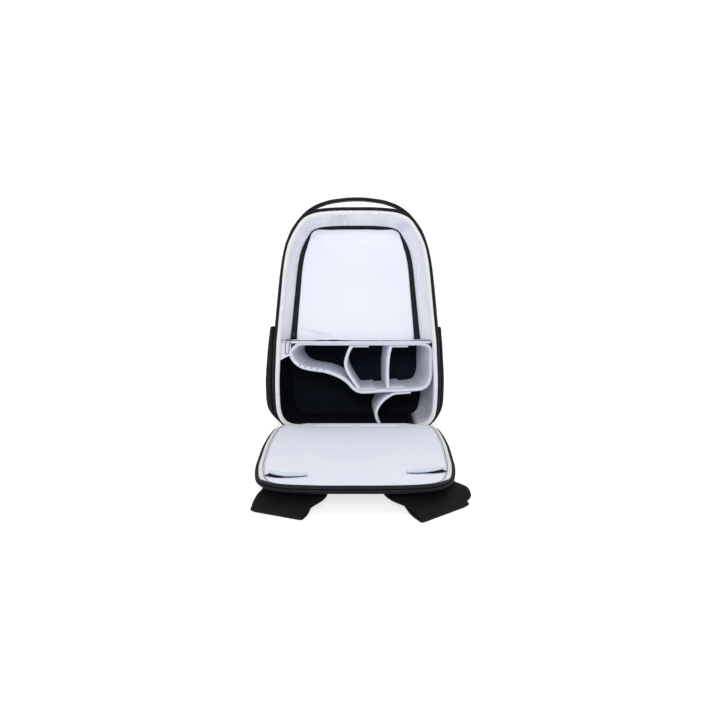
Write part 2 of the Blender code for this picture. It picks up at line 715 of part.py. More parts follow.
def flap_point(x, along, height):
    """A point of the flap: across, from the hinge along the flap, above its top face."""
    c, s = math.cos(FLAP_ANGLE), math.sin(FLAP_ANGLE)
    return (x, FRONT_Y - HINGE_GAP - along * c + height * s,
            HINGE_HEIGHT + along * s + height * c)


def flap_loop(offset):
    rows = np.array(FLAP_ROWS)
    half = np.column_stack([rows[:, 0] * FLAP_WIDTH / 2, rows[:, 1] * FLAP_LENGTH])
    loop = mirror_loop(half)
    return loop + outward(loop) * offset


def on_flap(loop, height):
    return [flap_point(x, along, height) for x, along in loop]


def make_flap_board():
    """Black padded back panel, lying with its inner side up."""
    under = SHOULDER_DROP + BOARD_THICK
    lining_under = LINING_THICK + 2 * GAP
    layers = ((-0.006, -under), (BOARD_EDGE - 0.002, -under + 0.35 * BOARD_THICK),
              (BOARD_EDGE, -under + 0.7 * BOARD_THICK), (BOARD_EDGE, -SHOULDER_DROP),
              (-0.0005, -SHOULDER_DROP), (-0.0010, -lining_under))
    rings = [on_flap(flap_loop(reach), height) for reach, height in layers]
    return tube("flap_board", rings, "black_shell")


def make_flap_lining():
    """Pale lining sheet of the back panel."""
    edge = -(BINDING_WIDTH + GAP)
    layers = ((edge, -GAP - LINING_THICK), (edge, -GAP - 0.0004), (edge - 0.0008, -GAP))
    rings = [on_flap(flap_loop(reach), height) for reach, height in layers]
    return tube("flap_lining", rings, "pale_lining")


def make_flap_binding():
    """Rolled tape round the lining of the back panel."""
    low = -GAP - LINING_THICK
    w = BINDING_WIDTH
    high = 0.0012
    profile = ((-0.0004, 0.5 * low), (-0.12 * w, 0.6 * high), (-0.5 * w, high),
               (-0.85 * w, 0.5 * high), (-w, -GAP), (-w, low), (-0.0004, low))
    rings = [on_flap(flap_loop(reach), height) for reach, height in profile]
    sections = [[ring[k] for ring in rings] for k in range(len(rings[0]))]
    return tube("flap_binding", sections, "warm_binding", closed=True)


def make_main_zip_flap():
    """Flap half of the long zip, on the ledge of the board."""
    low = -SHOULDER_DROP + GAP
    profile = ((0.0002, low), (ZIP_WIDTH, low), (ZIP_WIDTH, low + 0.6 * ZIP_THICK),
               (ZIP_WIDTH * 0.6, low + ZIP_THICK), (0.0002, low + ZIP_THICK))
    rings = [on_flap(flap_loop(reach), height) for reach, height in profile]
    start = next(k for k in range(len(FLAP_ROWS)) if FLAP_ROWS[k][1] >= 0.05)
    keep = range(start, len(rings[0]) - start + 1)
    sections = [[ring[k] for ring in rings] for k in keep]
    return tube("main_zip_flap", sections, "zip_black")


def make_garter(name, rows):
    """Elastic-edged corner band standing on the lining near a corner of the flap."""
    scale = np.array([FLAP_WIDTH / 2, FLAP_LENGTH])
    line = smooth_line(np.array(rows) * scale, 3)
    side = line_normals(line)
    count = len(line)
    shape = 0.35 + 0.65 * np.sin(np.pi * np.linspace(0.08, 0.92, count))
    sections = []
    for k in range(count):
        reach = side[k] * GARTER_WIDTH / 2 * shape[k]
        tall = GARTER_THICK * (1 + shape[k])
        a, b, c = line[k] + reach, line[k], line[k] - reach
        sections.append([flap_point(a[0], a[1], 0.0), flap_point(a[0], a[1], 0.3 * tall),
                         flap_point(b[0], b[1], 0.8 * tall), flap_point(c[0], c[1], tall),
                         flap_point(c[0], c[1], 0.0)])
    return tube(name, sections, "divider_pale")


def board_under(along):
    """Height of the board's underside at a distance from the hinge."""
    return (HINGE_HEIGHT - (SHOULDER_DROP + BOARD_THICK) / math.cos(FLAP_ANGLE)
            + along * math.tan(FLAP_ANGLE))


def make_hinge_strip():
    """Strip of black cloth that joins the body's lower edge to the back panel."""
    far = SHELL_SETBACK - 2 * GAP
    near = 0.0135
    front = 0.0220
    rise = board_under(near - HINGE_GAP) - HINGE_STRIP_THICK - GAP
    last = board_under(front - HINGE_GAP) - HINGE_STRIP_THICK - GAP
    run = ((far, 0.0), (-0.003, 0.0), (-0.0095, 0.6 * rise), (-near, rise), (-front, last))
    half = HINGE_STRIP_WIDTH / 2
    back = [[(x, FRONT_Y + depth, z) for x in (-half, 0.0, half)] for depth, z in run]
    face = [[(x, y, z + HINGE_STRIP_THICK) for x, y, z in row] for row in back]
    return slab("hinge_strip", face, back, "black_shell")


def strap_frame(row):
    """Outer and inner plan points of a strap row, in metres from the middle and hinge."""
    values = np.array(row) * FLAP_LENGTH
    return values[:2], values[2:]


def floor_point(plan, height):
    return (plan[0], FRONT_Y - HINGE_GAP - plan[1], height)


def make_shoulder_strap(name, rows, back_rows):
    """Padded shoulder strap folded double on the floor, its upper end under the flap."""
    gap = STRAP_FOLD_GAP
    sections = []
    for row, share in zip(rows, (1.0, 1.0, 0.90, 0.62, STRAP_PINCH)):
        t = STRAP_THICK * share
        sections.append((strap_frame(row), 0.0, 2 * t + gap, 0.0, t + gap))
    ends = strap_frame(rows[-1])
    fold = ends[1] - ends[0]
    out = np.array([-fold[1], fold[0]]) / np.linalg.norm(fold)
    if out[1] < 0:
        out = -out
    t = STRAP_THICK * STRAP_PINCH
    middle = t + gap / 2
    for angle in (45, 90, 135, 180):
        s, c = math.sin(math.radians(angle)), math.cos(math.radians(angle))
        sections.append((ends, middle * s, middle + middle * c,
                         gap / 2 * s, middle + gap / 2 * c))
    for row, share in zip(back_rows, (0.75, 1.0, 1.0, 0.8)):
        sections.append((strap_frame(row), 0.0, 0.0, 0.0, STRAP_THICK * share))
    shares = (0.0, 0.3, 0.7, 1.0)
    face, back = [], []
    for (a, b), shift1, z1, shift2, z2 in sections:
        face.append([floor_point(a + (b - a) * w + out * shift1, z1) for w in shares])
        back.append([floor_point(a + (b - a) * w + out * shift2, z2) for w in shares])
    return slab(name, face, back, "strap_charcoal")


def make_strap_webbing(name, back_rows, sign):
    """Flat webbing from the end of the folded strap to the lower corner of the panel."""
    ends = strap_frame(back_rows[-1])
    start = (ends[0] + ends[1]) / 2 - np.array([0.0, 2 * GAP])
    stop = np.array([sign * WEBBING_SPREAD, WEBBING_REACH]) * FLAP_LENGTH
    side = np.array([WEBBING_WIDTH / 2, 0.0])
    rise = board_under(stop[1]) - WEBBING_THICK - 2 * GAP
    face, back = [], []
    for share, low in ((0.0, 0.0), (0.6, 0.0), (0.85, 0.6 * rise), (1.0, rise)):
        plan = start + (stop - start) * share
        back.append([floor_point(plan + side * w, low) for w in (-1, 1)])
        face.append([floor_point(plan + side * w, low + WEBBING_THICK) for w in (-1, 1)])
    return slab(name, face, back, "strap_charcoal")


def make_slider(name, centre, slot="slider_metal"):
    """Small rounded slider body standing upright on a zip."""
    bpy.ops.mesh.primitive_cube_add(size=1.0, location=centre)
    piece = bpy.context.active_object
    piece.name = name
    piece.data.name = name
    piece.data.transform(Matrix.Diagonal((SLIDER_WIDTH, SLIDER_THICK, SLIDER_LENGTH, 1.0)))
    edge = piece.modifiers.new("edge", "BEVEL")
    edge.width = SLIDER_THICK * 0.28
    edge.segments = 2
    edge.limit_method = "ANGLE"
    for owner in list(piece.users_collection):
        owner.objects.unlink(piece)
    parts_collection().objects.link(piece)
    piece.data.materials.append(material(slot))
    return piece


def u_slider_centre():
    """Middle of the slider near the lower left end of the upper compartment's zip."""
    outer, inner, _ = tape_edges()
    height = SHELF_HEIGHT + SLIDER_LENGTH * 0.5 + 0.002
    x_out = float(np.interp(height, outer[:3, 1], outer[:3, 0]))
    x_in = float(np.interp(height, inner[:3, 1], inner[:3, 0]))
    depth = float(u_depth(height)) - GAP - SLIDER_THICK / 2 - 0.0002
    return (U_SHIFT - (x_out + x_in) / 2, FRONT_Y + depth, height)


def make_pull_cord():
    """Thin cord loop of that slider, lying over the shelf and hanging in front of it."""
    x, y, _ = u_slider_centre()
    r = PULL_DIAMETER / 2
    start = y - SLIDER_THICK / 2 - GAP - r
    edge = FRONT_Y + SHELF_SETBACK
    rest = SHELF_HEIGHT + GAP + r
    rows = [(x + across, start + (edge - start) * share, rest + up, half)
            for across, share, up, half in PULL_ROWS]
    down = [(a - half, b, c) for a, b, c, half in rows]
    up = [(a + half, b, c) for a, b, c, half in rows[::-1]]
    a, b, c, half = rows[-1]
    turn = [(a - half * math.cos(math.radians(t)), b, c - half * math.sin(math.radians(t)))
            for t in (36, 72, 108, 144)]
    points = smooth_line(down + turn + up, 2)
    curve = bpy.data.curves.new("u_zip_pull", "CURVE")
    curve.dimensions = "3D"
    curve.bevel_depth = r
    curve.bevel_resolution = 2
    curve.use_fill_caps = True
    spline = curve.splines.new("POLY")
    spline.points.add(len(points) - 1)
    for target, point in zip(spline.points, points):
        target.co = (*point, 1.0)
    piece = bpy.data.objects.new("u_zip_pull", curve)
    parts_collection().objects.link(piece)
    curve.materials.append(material("zip_black"))
    return piece


clear_scene()
make_shell()
make_lining_walls()
make_rim_binding()
make_main_zip_body()
make_upper_surround()
make_u_zip_tape()
make_upper_panel()
make_compartment_floor()
make_cell_back()
make_loop_divider()
make_web("divider_left", LEFT_WEB_ROWS)
make_web("divider_right", RIGHT_WEB_ROWS)
make_lens_divider()
make_side_pocket("side_pocket_left", -1, POCKET_BULGE_LEFT)
make_side_pocket("side_pocket_right", 1, POCKET_BULGE_RIGHT)
make_grab_handle()
make_flap_board()
make_flap_lining()
make_flap_binding()
make_main_zip_flap()
make_garter("corner_garter_left", GARTER_LEFT_ROWS)
make_garter("corner_garter_right", GARTER_RIGHT_ROWS)
make_hinge_strip()
make_shoulder_strap("shoulder_strap_left", STRAP_LEFT_ROWS, STRAP_LEFT_BACK)
make_shoulder_strap("shoulder_strap_right", STRAP_RIGHT_ROWS, STRAP_RIGHT_BACK)
make_strap_webbing("strap_webbing_left", STRAP_LEFT_BACK, -1)
make_strap_webbing("strap_webbing_right", STRAP_RIGHT_BACK, 1)
make_slider("u_zip_slider", u_slider_centre())
make_pull_cord()
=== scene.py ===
import math

import bmesh
import bpy
import numpy as np
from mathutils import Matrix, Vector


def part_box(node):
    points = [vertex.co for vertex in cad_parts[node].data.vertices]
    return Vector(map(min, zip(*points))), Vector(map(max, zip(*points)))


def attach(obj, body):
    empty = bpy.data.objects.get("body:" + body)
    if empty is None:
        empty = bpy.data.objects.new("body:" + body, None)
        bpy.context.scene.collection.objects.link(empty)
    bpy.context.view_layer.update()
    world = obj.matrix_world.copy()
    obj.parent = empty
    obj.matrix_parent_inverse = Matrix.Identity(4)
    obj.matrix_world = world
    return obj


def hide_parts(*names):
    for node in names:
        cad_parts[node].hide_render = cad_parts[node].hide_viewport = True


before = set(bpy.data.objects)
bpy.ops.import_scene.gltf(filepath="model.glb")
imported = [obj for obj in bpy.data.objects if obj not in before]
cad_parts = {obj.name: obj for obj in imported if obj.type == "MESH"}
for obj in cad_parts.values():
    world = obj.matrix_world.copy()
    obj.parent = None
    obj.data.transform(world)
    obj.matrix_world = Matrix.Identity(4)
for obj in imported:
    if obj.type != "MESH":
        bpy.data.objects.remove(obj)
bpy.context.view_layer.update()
print("frame loaded:", len(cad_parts), "solids")

otherSide = np.array([-1.0, 1.0])
toViewer = np.array([0.0, -1.0, 0.0])
upward = np.array([0.0, 0.0, 1.0])


def curveThrough(points, steps, closed=False):
    # Catmull-Rom: each span is a cubic of its two ends and their two neighbours
    pts = np.asarray(points, float)
    if closed:
        a, b, c, d = (np.roll(pts, k, axis=0) for k in (1, 0, -1, -2))
    else:
        ends = np.vstack([pts[:1], pts, pts[-1:]])
        a, b, c, d = ends[:-3], ends[1:-2], ends[2:-1], ends[3:]
    a, b, c, d = (p[:, None, :] for p in (a, b, c, d))
    u = (np.arange(steps) / steps)[None, :, None]
    line = 0.5 * (2 * b + (c - a) * u + (2 * a - 5 * b + 4 * c - d) * u ** 2
                  + (3 * b - a - 3 * c + d) * u ** 3)
    line = line.reshape(-1, pts.shape[1])
    return line if closed else np.vstack([line, pts[-1:]])


def lengthAlong(line):
    # running length from the first point
    return np.concatenate([[0], np.cumsum(np.linalg.norm(np.diff(line, axis=0), axis=1))])


def loopRun(loop):
    # running length at each point of a closed loop
    return lengthAlong(np.vstack([loop, loop[:1]]))[:-1]


def readAt(at, run, line):
    # each column of the line, read in straight steps at the given running lengths
    return np.column_stack([np.interp(at, run, line[:, k]) for k in range(line.shape[1])])


def evenly(line, count):
    # the same line read at so many equal steps of its length
    run = lengthAlong(line)
    return readAt(np.linspace(0, run[-1], count), run, line)


def unit(vectors):
    # each vector over its own length
    return vectors / np.linalg.norm(vectors, axis=-1, keepdims=True)


def outward(loop):
    # unit normals of closed plane loops that run anticlockwise, from each point's neighbours
    run = np.roll(loop, -1, axis=-2) - np.roll(loop, 1, axis=-2)
    return unit(np.stack([run[..., 1], -run[..., 0]], axis=-1))


def sideways(line):
    # unit normals of an open plane line, to the left of its run
    run = np.gradient(line, axis=0)
    return unit(np.column_stack([-run[:, 1], run[:, 0]]))


def fineLoop(control, perStep):
    # a closed outline read at so many points a step, with its normals
    fine = curveThrough(control, perStep, closed=True)
    return fine, outward(fine)


def moved(line, normal, reach):
    # points of a plane line, each carried along its normal by every reach of its row
    return line[:, :1] + normal[:, :1] * reach, line[:, 1:2] + normal[:, 1:2] * reach


def mirrorLoop(right):
    # the right half and its mirror image as one closed loop
    return np.vstack([right, right[-2:0:-1] * otherSide])


def bothSides(half):
    # the right half and its mirror image as one open line
    return np.vstack([half, half[-2::-1] * otherSide])


def fullTurn(count):
    # so many equal angles of one whole turn
    return np.linspace(0, 2 * math.pi, count + 1)[:-1]


def beat(run, pitch):
    # a wave from nought to one, once in each pitch
    return 0.5 + 0.5 * np.cos(2 * math.pi * run / pitch)


def hump(x, centre, width):
    # bell curve of height one
    return np.exp(-((x - centre) / width) ** 2)


def ripple(p, q, short, long, seed):
    # mean of nine sine waves with set headings, lengths and phases
    draw = np.random.default_rng(seed)
    total = 0.0
    for _ in range(9):
        heading, phase = draw.uniform(0, math.pi), draw.uniform(0, 2 * math.pi)
        wave = draw.uniform(short, long)
        total = total + np.sin(2 * math.pi * (p * math.cos(heading) + q * math.sin(heading))
                               / wave + phase)
    return total / 9


def softNoise(*facts):
    # the ripple, lifted to lie between nought and one
    return 0.5 + 0.5 * ripple(*facts)


def place(x, y, z):
    # three coordinates spread to one shape and put together as points
    x, y, z = np.broadcast_arrays(x, y, z)
    return np.stack([x, y, z], axis=-1)


def boxOf(node):
    # centre and size of one of the frame's solids
    low, high = (np.array(corner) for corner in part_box(node))
    return (low + high) / 2, high - low


def gridFaces(rows, cols, wrapRows, wrapCols):
    # four-cornered faces of a grid of points, and each corner's step across and along
    i, j = np.meshgrid(np.arange(rows if wrapRows else rows - 1),
                       np.arange(cols if wrapCols else cols - 1), indexing="ij")
    up, right = (i + 1) % rows, (j + 1) % cols
    faces = np.stack([i * cols + j, i * cols + right, up * cols + right, up * cols + j], -1)
    steps = np.stack([np.stack([j, i], -1), np.stack([j + 1, i], -1),
                      np.stack([j + 1, i + 1], -1), np.stack([j, i + 1], -1)], -2)
    return faces.reshape(-1, 4), steps.reshape(-1, 4, 2)


def newObject(name, data):
    # an object at the origin, linked to the scene
    thing = bpy.data.objects.new(name, data)
    bpy.context.scene.collection.objects.link(thing)
    return thing


def smoothMesh(name, points, faces, mat):
    # a smooth mesh of points and faces with its material
    mesh = bpy.data.meshes.new(name)
    mesh.from_pydata(points.reshape(-1, 3).tolist(), [], faces)
    mesh.shade_smooth()
    mesh.materials.append(mat)
    return mesh


def fixNormals(mesh):
    # every face turned outwards
    bm = bmesh.new()
    bm.from_mesh(mesh)
    bmesh.ops.recalc_face_normals(bm, faces=bm.faces)
    bm.to_mesh(mesh)
    bm.free()


def addPiece(name, points, faces, uv, look, node=(), solid=False, wall=0.0):
    # a mesh in its look, riding the one body and standing for its solid; a wall makes a sheet
    # of it thick
    mesh = smoothMesh(name, points, faces, finish[look])
    layer = mesh.uv_layers.new(name="cloth")
    flat = np.zeros(2 * len(mesh.loops)) if uv is None else uv
    layer.data.foreach_set("uv", flat.astype(np.float32).ravel())
    if solid:
        fixNormals(mesh)
    piece = newObject(name, mesh)
    if wall:
        skin = piece.modifiers.new("wall", "SOLIDIFY")
        skin.thickness = wall
        skin.offset = -1.0
    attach(piece, "root")
    if node:
        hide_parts(node)
    return piece


def clothPiece(name, grid, look, node=(), wrapRows=False, wrapCols=False, caps=False,
               flip=False, solid=False, wall=0.0):
    # a surface of two parameters; its UV map is the run in metres along each of them
    rows, cols = grid.shape[:2]
    faces, steps = gridFaces(rows, cols, wrapRows, wrapCols)
    across, along = (lengthAlong(np.vstack([line, line[:1]]))
                     for line in (grid[rows // 2], grid[:, cols // 2]))
    uv = np.stack([across[steps[..., 0]], along[steps[..., 1]]], -1)
    if flip:
        faces, uv = faces[:, ::-1], uv[:, ::-1]
    points, lists, uvFlat = grid.reshape(-1, 3), faces.tolist(), uv.reshape(-1, 2)
    if caps:
        first = list(range(cols))
        last = [(rows - 1) * cols + k for k in range(cols)]
        lists += [first, last[::-1]] if flip else [first[::-1], last]
        for cap in lists[-2:]:
            flat = points[cap] - points[cap].mean(axis=0)
            used = np.argsort(np.ptp(flat, axis=0))[1:]
            uvFlat = np.vstack([uvFlat, flat[:, np.sort(used)]])
    return addPiece(name, points, lists, uvFlat, look, node, solid, wall)


def tubePiece(name, grid, look, node=(), **facts):
    # a closed tube with both ends capped
    return clothPiece(name, grid, look, node, wrapCols=True, caps=True, solid=True, **facts)


def padEdge(thick, near, far, edge, faceSteps):
    # outline of a padded strip seen end-on: two faces joined by round front and back edges,
    # as (side, depth) with side from -1 to 1
    turn = np.linspace(-math.pi / 2, math.pi / 2, 9)
    run = np.linspace(near + edge, far - edge, faceSteps + 2)[1:-1]
    side = np.concatenate([np.sin(turn), np.ones(faceSteps), np.sin(-turn), -np.ones(faceSteps)])
    deep = np.concatenate([near + edge * (1 - np.cos(turn)), run,
                           far - edge * (1 - np.cos(turn)), run[::-1]])
    return side * thick / 2, deep


# colours of the threads, thread pitch, depth of the weave, scale of the colour's patches
lookColumns = ("slot", "colour", "second", "pitch", "weave", "rough", "sheen", "gloss",
               "patch", "ribs")
looks = {name: dict(zip(lookColumns, row)) for name, row in {
    "shellNylon": ("black_shell", (0.006, 0.006, 0.0068), (0.0135, 0.0135, 0.015),
                   0.0011, 0.00022, 0.66, 0.0, 0.07, 26, False),
    "pocketKnit": ("black_shell", (0.0058, 0.0058, 0.0066), (0.0125, 0.0125, 0.014),
                   0.0019, 0.00045, 0.78, 0.0, 0.05, 40, False),
    "liningCloth": ("pale_lining", (0.8, 0.81, 0.885), (0.84, 0.85, 0.915),
                    0.0008, 0.0001, 0.9, 0.06, 0.12, 18, False),
    "panelCloth": ("pale_lining", (0.775, 0.785, 0.865), (0.805, 0.815, 0.885),
                   0.0008, 0.00009, 0.88, 0.06, 0.15, 14, False),
    "flapCloth": ("pale_lining", (0.745, 0.77, 0.865), (0.775, 0.8, 0.885),
                  0.0008, 0.0001, 0.9, 0.06, 0.15, 16, False),
    "bindingTape": ("warm_binding", (0.66, 0.655, 0.685), (0.76, 0.75, 0.775),
                    0.001, 0.0002, 0.8, 0.05, 0.2, 90, True),
    "zipTape": ("zip_black", (0.009, 0.0095, 0.0135), (0.017, 0.018, 0.025),
                0.0009, 0.00015, 0.55, 0.0, 0.08, 60, False),
    # dark navy cloth of the back wall and notch threads, also used as painted shade in the cells,
    # at the shelf's edge and under the garters
    "navyBackAndShade": ("navy_lining", (0.0065, 0.008, 0.014), (0.0095, 0.0115, 0.019),
                 0.0012, 0.00015, 0.92, 0.0, 0.05, 22, False),
    "dividerCloth": ("divider_pale", (0.66, 0.68, 0.785), (0.72, 0.74, 0.83),
                     0.0009, 0.00016, 0.92, 0.08, 0.12, 45, False),
    "strapWebbing": ("strap_charcoal", (0.008, 0.008, 0.0098), (0.02, 0.02, 0.024),
                     0.0016, 0.0004, 0.58, 0.02, 0.22, 70, True),
    "strapCloth": ("strap_charcoal", (0.0062, 0.0062, 0.0078), (0.0115, 0.0115, 0.0138),
                   0.0013, 0.00025, 0.7, 0.0, 0.06, 36, False),
    # the garters: the pale lining darkened and blued as painted shade on the lips
    "garterShadedCloth": ("divider_pale", (0.55, 0.62, 0.73), (0.63, 0.7, 0.8),
                    0.0009, 0.00016, 0.9, 0.06, 0.12, 60, False),
    "greyThread": ("warm_binding", (0.11, 0.11, 0.125), (0.17, 0.17, 0.185),
                   0.0004, 0.00006, 0.7, 0.0, 0.1, 300, False),
    "paleThread": ("warm_binding", (0.5, 0.49, 0.52), (0.58, 0.57, 0.6),
                   0.0004, 0.00006, 0.6, 0.03, 0.25, 300, False),
    "darkThread": ("zip_black", (0.005, 0.005, 0.007), (0.009, 0.009, 0.012),
                   0.0004, 0.00006, 0.5, 0.0, 0.1, 300, False)}.items()}


def feed(tree, node, inputs):
    # each input takes a value, or is linked to the socket that is given for it
    for key, value in inputs.items():
        if isinstance(value, bpy.types.NodeSocket):
            tree.links.new(value, node.inputs[key])
        else:
            node.inputs[key].default_value = value


def newNode(tree, kind, inputs, **settings):
    # a shader node with its settings and inputs
    node = tree.nodes.new("ShaderNode" + kind)
    for key, value in settings.items():
        setattr(node, key, value)
    feed(tree, node, inputs)
    return node


def newRamp(tree, source, levels, colours):
    # a ramp from one colour at the first level to another at the second
    node = newNode(tree, "ValToRGB", {"Fac": source})
    for element, level, colour in zip(node.color_ramp.elements, levels, colours):
        element.position, element.color = level, (*colour, 1)
    return node


def newMaterial(name, inputs):
    # a material with these inputs of its shader, its tree and the shader
    mat = bpy.data.materials.new(name)
    mat.use_nodes = True
    shader = mat.node_tree.nodes["Principled BSDF"]
    feed(mat.node_tree, shader, inputs)
    return mat, mat.node_tree, shader


cloth = {"waveScale": 0.31416, "ribs": 0.5, "fray": 0.6, "fuzz": 900.0, "threadShare": 0.35,
         "fuzzShare": 0.45, "bump": 0.7, "levels": (0.40, 0.95)}


def clothFinish(name, look):
    # two close colours by soft patches and threads, and a bump of crossed threads and fuzz
    mat, tree, shader = newMaterial(name, {"Roughness": look["rough"],
                                           "Sheen Weight": look["sheen"],
                                           "Specular IOR Level": look["gloss"]})
    coords = newNode(tree, "TexCoord", {})
    cross = newNode(tree, "Math", {}, operation="MAXIMUM")
    for k, direction in enumerate(("X", "Y")):
        spread = cloth["ribs"] if look["ribs"] and direction == "X" else 1.0
        wave = newNode(tree, "TexWave", {"Scale": cloth["waveScale"] / look["pitch"] * spread,
                                         "Distortion": cloth["fray"],
                                         "Vector": coords.outputs["UV"]},
                       wave_type="BANDS", bands_direction=direction)
        tree.links.new(wave.outputs["Fac"], cross.inputs[k])
    fuzz, patch = (newNode(tree, "TexNoise", {"Scale": scale, "Detail": detail,
                                              "Vector": coords.outputs["Object"]})
                   for scale, detail in ((cloth["fuzz"], 3.0), (look["patch"], 4.0)))
    blend = newNode(tree, "Math", {0: cross.outputs[0], 1: cloth["threadShare"],
                                   2: patch.outputs["Fac"]}, operation="MULTIPLY_ADD")
    colour = newRamp(tree, blend.outputs[0], cloth["levels"], (look["colour"], look["second"]))
    colour.name = "clothColour"
    height = newNode(tree, "Math", {0: fuzz.outputs["Fac"], 1: cloth["fuzzShare"],
                                    2: cross.outputs[0]}, operation="MULTIPLY_ADD")
    bump = newNode(tree, "Bump", {"Strength": cloth["bump"], "Distance": look["weave"],
                                  "Height": height.outputs[0]})
    feed(tree, shader, {"Base Color": colour.outputs["Color"], "Normal": bump.outputs["Normal"]})
    return mat


# metres: painted shade: the shaded floor's height and far end, and the slanting edge of the shaded
# side wall
paintedShadeCorner = {"slope": 1.58, "deep": 0.30, "level": 0.0855, "soft": 0.0010, "floor": 0.0225,
              "floorSoft": 0.003, "far": 0.122, "farSoft": 0.006, "gloss": 0.06}


def paintShadeBelow(name, pale, dark):
    # the pale finish with painted shade: dark navy on the lower left, under the line from the left
    # wall down to the foot of the lower divider, and along the floor up to the far corner
    copy = finish[pale].copy()
    copy.name = name
    tree = copy.node_tree
    coords = newNode(tree, "TexCoord", {})
    parts = newNode(tree, "SeparateXYZ", {0: coords.outputs["Object"]})

    def past(weights, level, blur):
        # one where the sum of weighted coordinates and the level is over nought
        for axis, weight in zip(("X", "Y", "Z"), weights):
            level = newNode(tree, "Math", {0: parts.outputs[axis], 1: weight, 2: level},
                            operation="MULTIPLY_ADD").outputs[0]
        return newNode(tree, "MapRange", {"From Min": -blur, "From Max": blur,
                                          "Value": level}).outputs["Result"]

    facts = paintedShadeCorner
    low = past((0.0, 0.0, -1.0), facts["floor"], facts["floorSoft"])
    near = past((-1.0, 0.0, 0.0), facts["far"], facts["farSoft"])
    slant = past((-1.0, facts["deep"], -facts["slope"]), facts["level"], facts["soft"])
    floor = newNode(tree, "Math", {0: low, 1: near}, operation="MINIMUM")
    both = newNode(tree, "Math", {0: slant, 1: floor.outputs[0]}, operation="MAXIMUM")
    mix = newNode(tree, "Mix", {0: both.outputs[0], 7: (*looks[dark]["colour"], 1),
                                6: tree.nodes["clothColour"].outputs["Color"]},
                  data_type="RGBA")
    feed(tree, tree.nodes["Principled BSDF"], {"Base Color": mix.outputs[2],
                                               "Sheen Weight": 0.0,
                                               "Specular IOR Level": facts["gloss"]})
    return copy


def metalFinish(name):
    # black paint with small scuffs that shine through, scattered at random
    mat, tree, shader = newMaterial(name, {"Metallic": 0.7, "Roughness": 0.38})
    coords = newNode(tree, "TexCoord", {})
    noise = newNode(tree, "TexNoise", {"Scale": 420.0, "Vector": coords.outputs["Object"]})
    colour = newRamp(tree, noise.outputs["Fac"], (0.45, 0.80),
                     ((0.018, 0.018, 0.022), (0.075, 0.075, 0.085)))
    feed(tree, shader, {"Base Color": colour.outputs["Color"]})
    return mat


finish = {name: clothFinish(name, look) for name, look in looks.items()}
finish["sliderMetal"] = metalFinish("sliderMetal")
# the cells' lining: pale cloth with painted shade on its lower left
finish["cellLiningShaded"] = paintShadeBelow("cellLiningShaded", "liningCloth", "navyBackAndShade")

slots = {name: look["slot"] for name, look in looks.items()}
slots.update({"sliderMetal": "slider_metal", "cellLiningShaded": "pale_lining"})

body = {"width": 0.322, "height": 0.4335, "depth": 0.170, "rimLift": 0.005, "gap": 0.0004,
        "shellWall": 0.0025, "shellEdge": 0.0045, "setback": 0.0025, "bulge": 0.0075,
        "bindingWidth": 0.0085, "bindingThick": 0.0044, "zipWidth": 0.0051, "zipThick": 0.0026,
        "liningSeat": 1.12, "cellDepth": 0.124, "shelf": 0.179, "steps": 8}
frontY = -body["depth"] / 2
halfWidth = body["width"] / 2
rimSpan = body["height"] - body["rimLift"]
gap = body["gap"]

# share of the half width across, share of the rim's span up
rimRows = np.array([
    (0.000, 0.000), (0.360, 0.000), (0.714, 0.000), (0.845, 0.008), (0.925, 0.030),
    (0.972, 0.062), (0.993, 0.104), (1.000, 0.172), (0.998, 0.248), (0.984, 0.345),
    (0.974, 0.406), (0.957, 0.464), (0.935, 0.540), (0.908, 0.632), (0.873, 0.748),
    (0.829, 0.831), (0.779, 0.879), (0.723, 0.916), (0.668, 0.946), (0.598, 0.968),
    (0.484, 0.984), (0.342, 0.991), (0.174, 0.994), (0.000, 0.994)])
# share of the depth, width factor, top and bottom as shares of the height, share of the bulge
shellRows = np.array([
    (0.0147, 1.000, 1.0104, 0.0012, 0.00), (0.118, 1.000, 1.0090, -0.0005, 0.60),
    (0.265, 1.000, 1.0040, -0.0035, 1.00), (0.500, 1.000, 1.0000, -0.0035, 0.93),
    (0.694, 0.935, 0.9880, -0.0035, 0.60), (0.835, 0.860, 0.9570, 0.0035, 0.20),
    (0.929, 0.770, 0.8880, 0.0200, 0.00), (0.982, 0.650, 0.7840, 0.0700, 0.00),
    (1.000, 0.460, 0.6400, 0.1900, 0.00)])
# share of the rim's span, share of the bulge
bulgeRows = np.array([(0.00, 0.50), (0.10, 1.00), (0.64, 1.00), (0.83, 0.72), (0.86, 0.50),
                      (0.90, 0.22), (0.95, 0.08), (1.00, 0.00)])
# share of the cells' depth, thickness of the side padding
padRows = np.array([(0.024, 0.0073), (0.36, 0.0145), (0.69, 0.0180), (1.0, 0.0140)])
padShare = {"floor": 0.40, "upper": 0.42}

rimControl = mirrorLoop(np.column_stack([rimRows[:, 0] * halfWidth,
                                         body["rimLift"] + rimRows[:, 1] * rimSpan]))
rimFine = curveThrough(rimControl, body["steps"], closed=True)
rimCount = len(rimFine)
rimTop = rimCount // 2
shellTable = curveThrough(shellRows, 12)


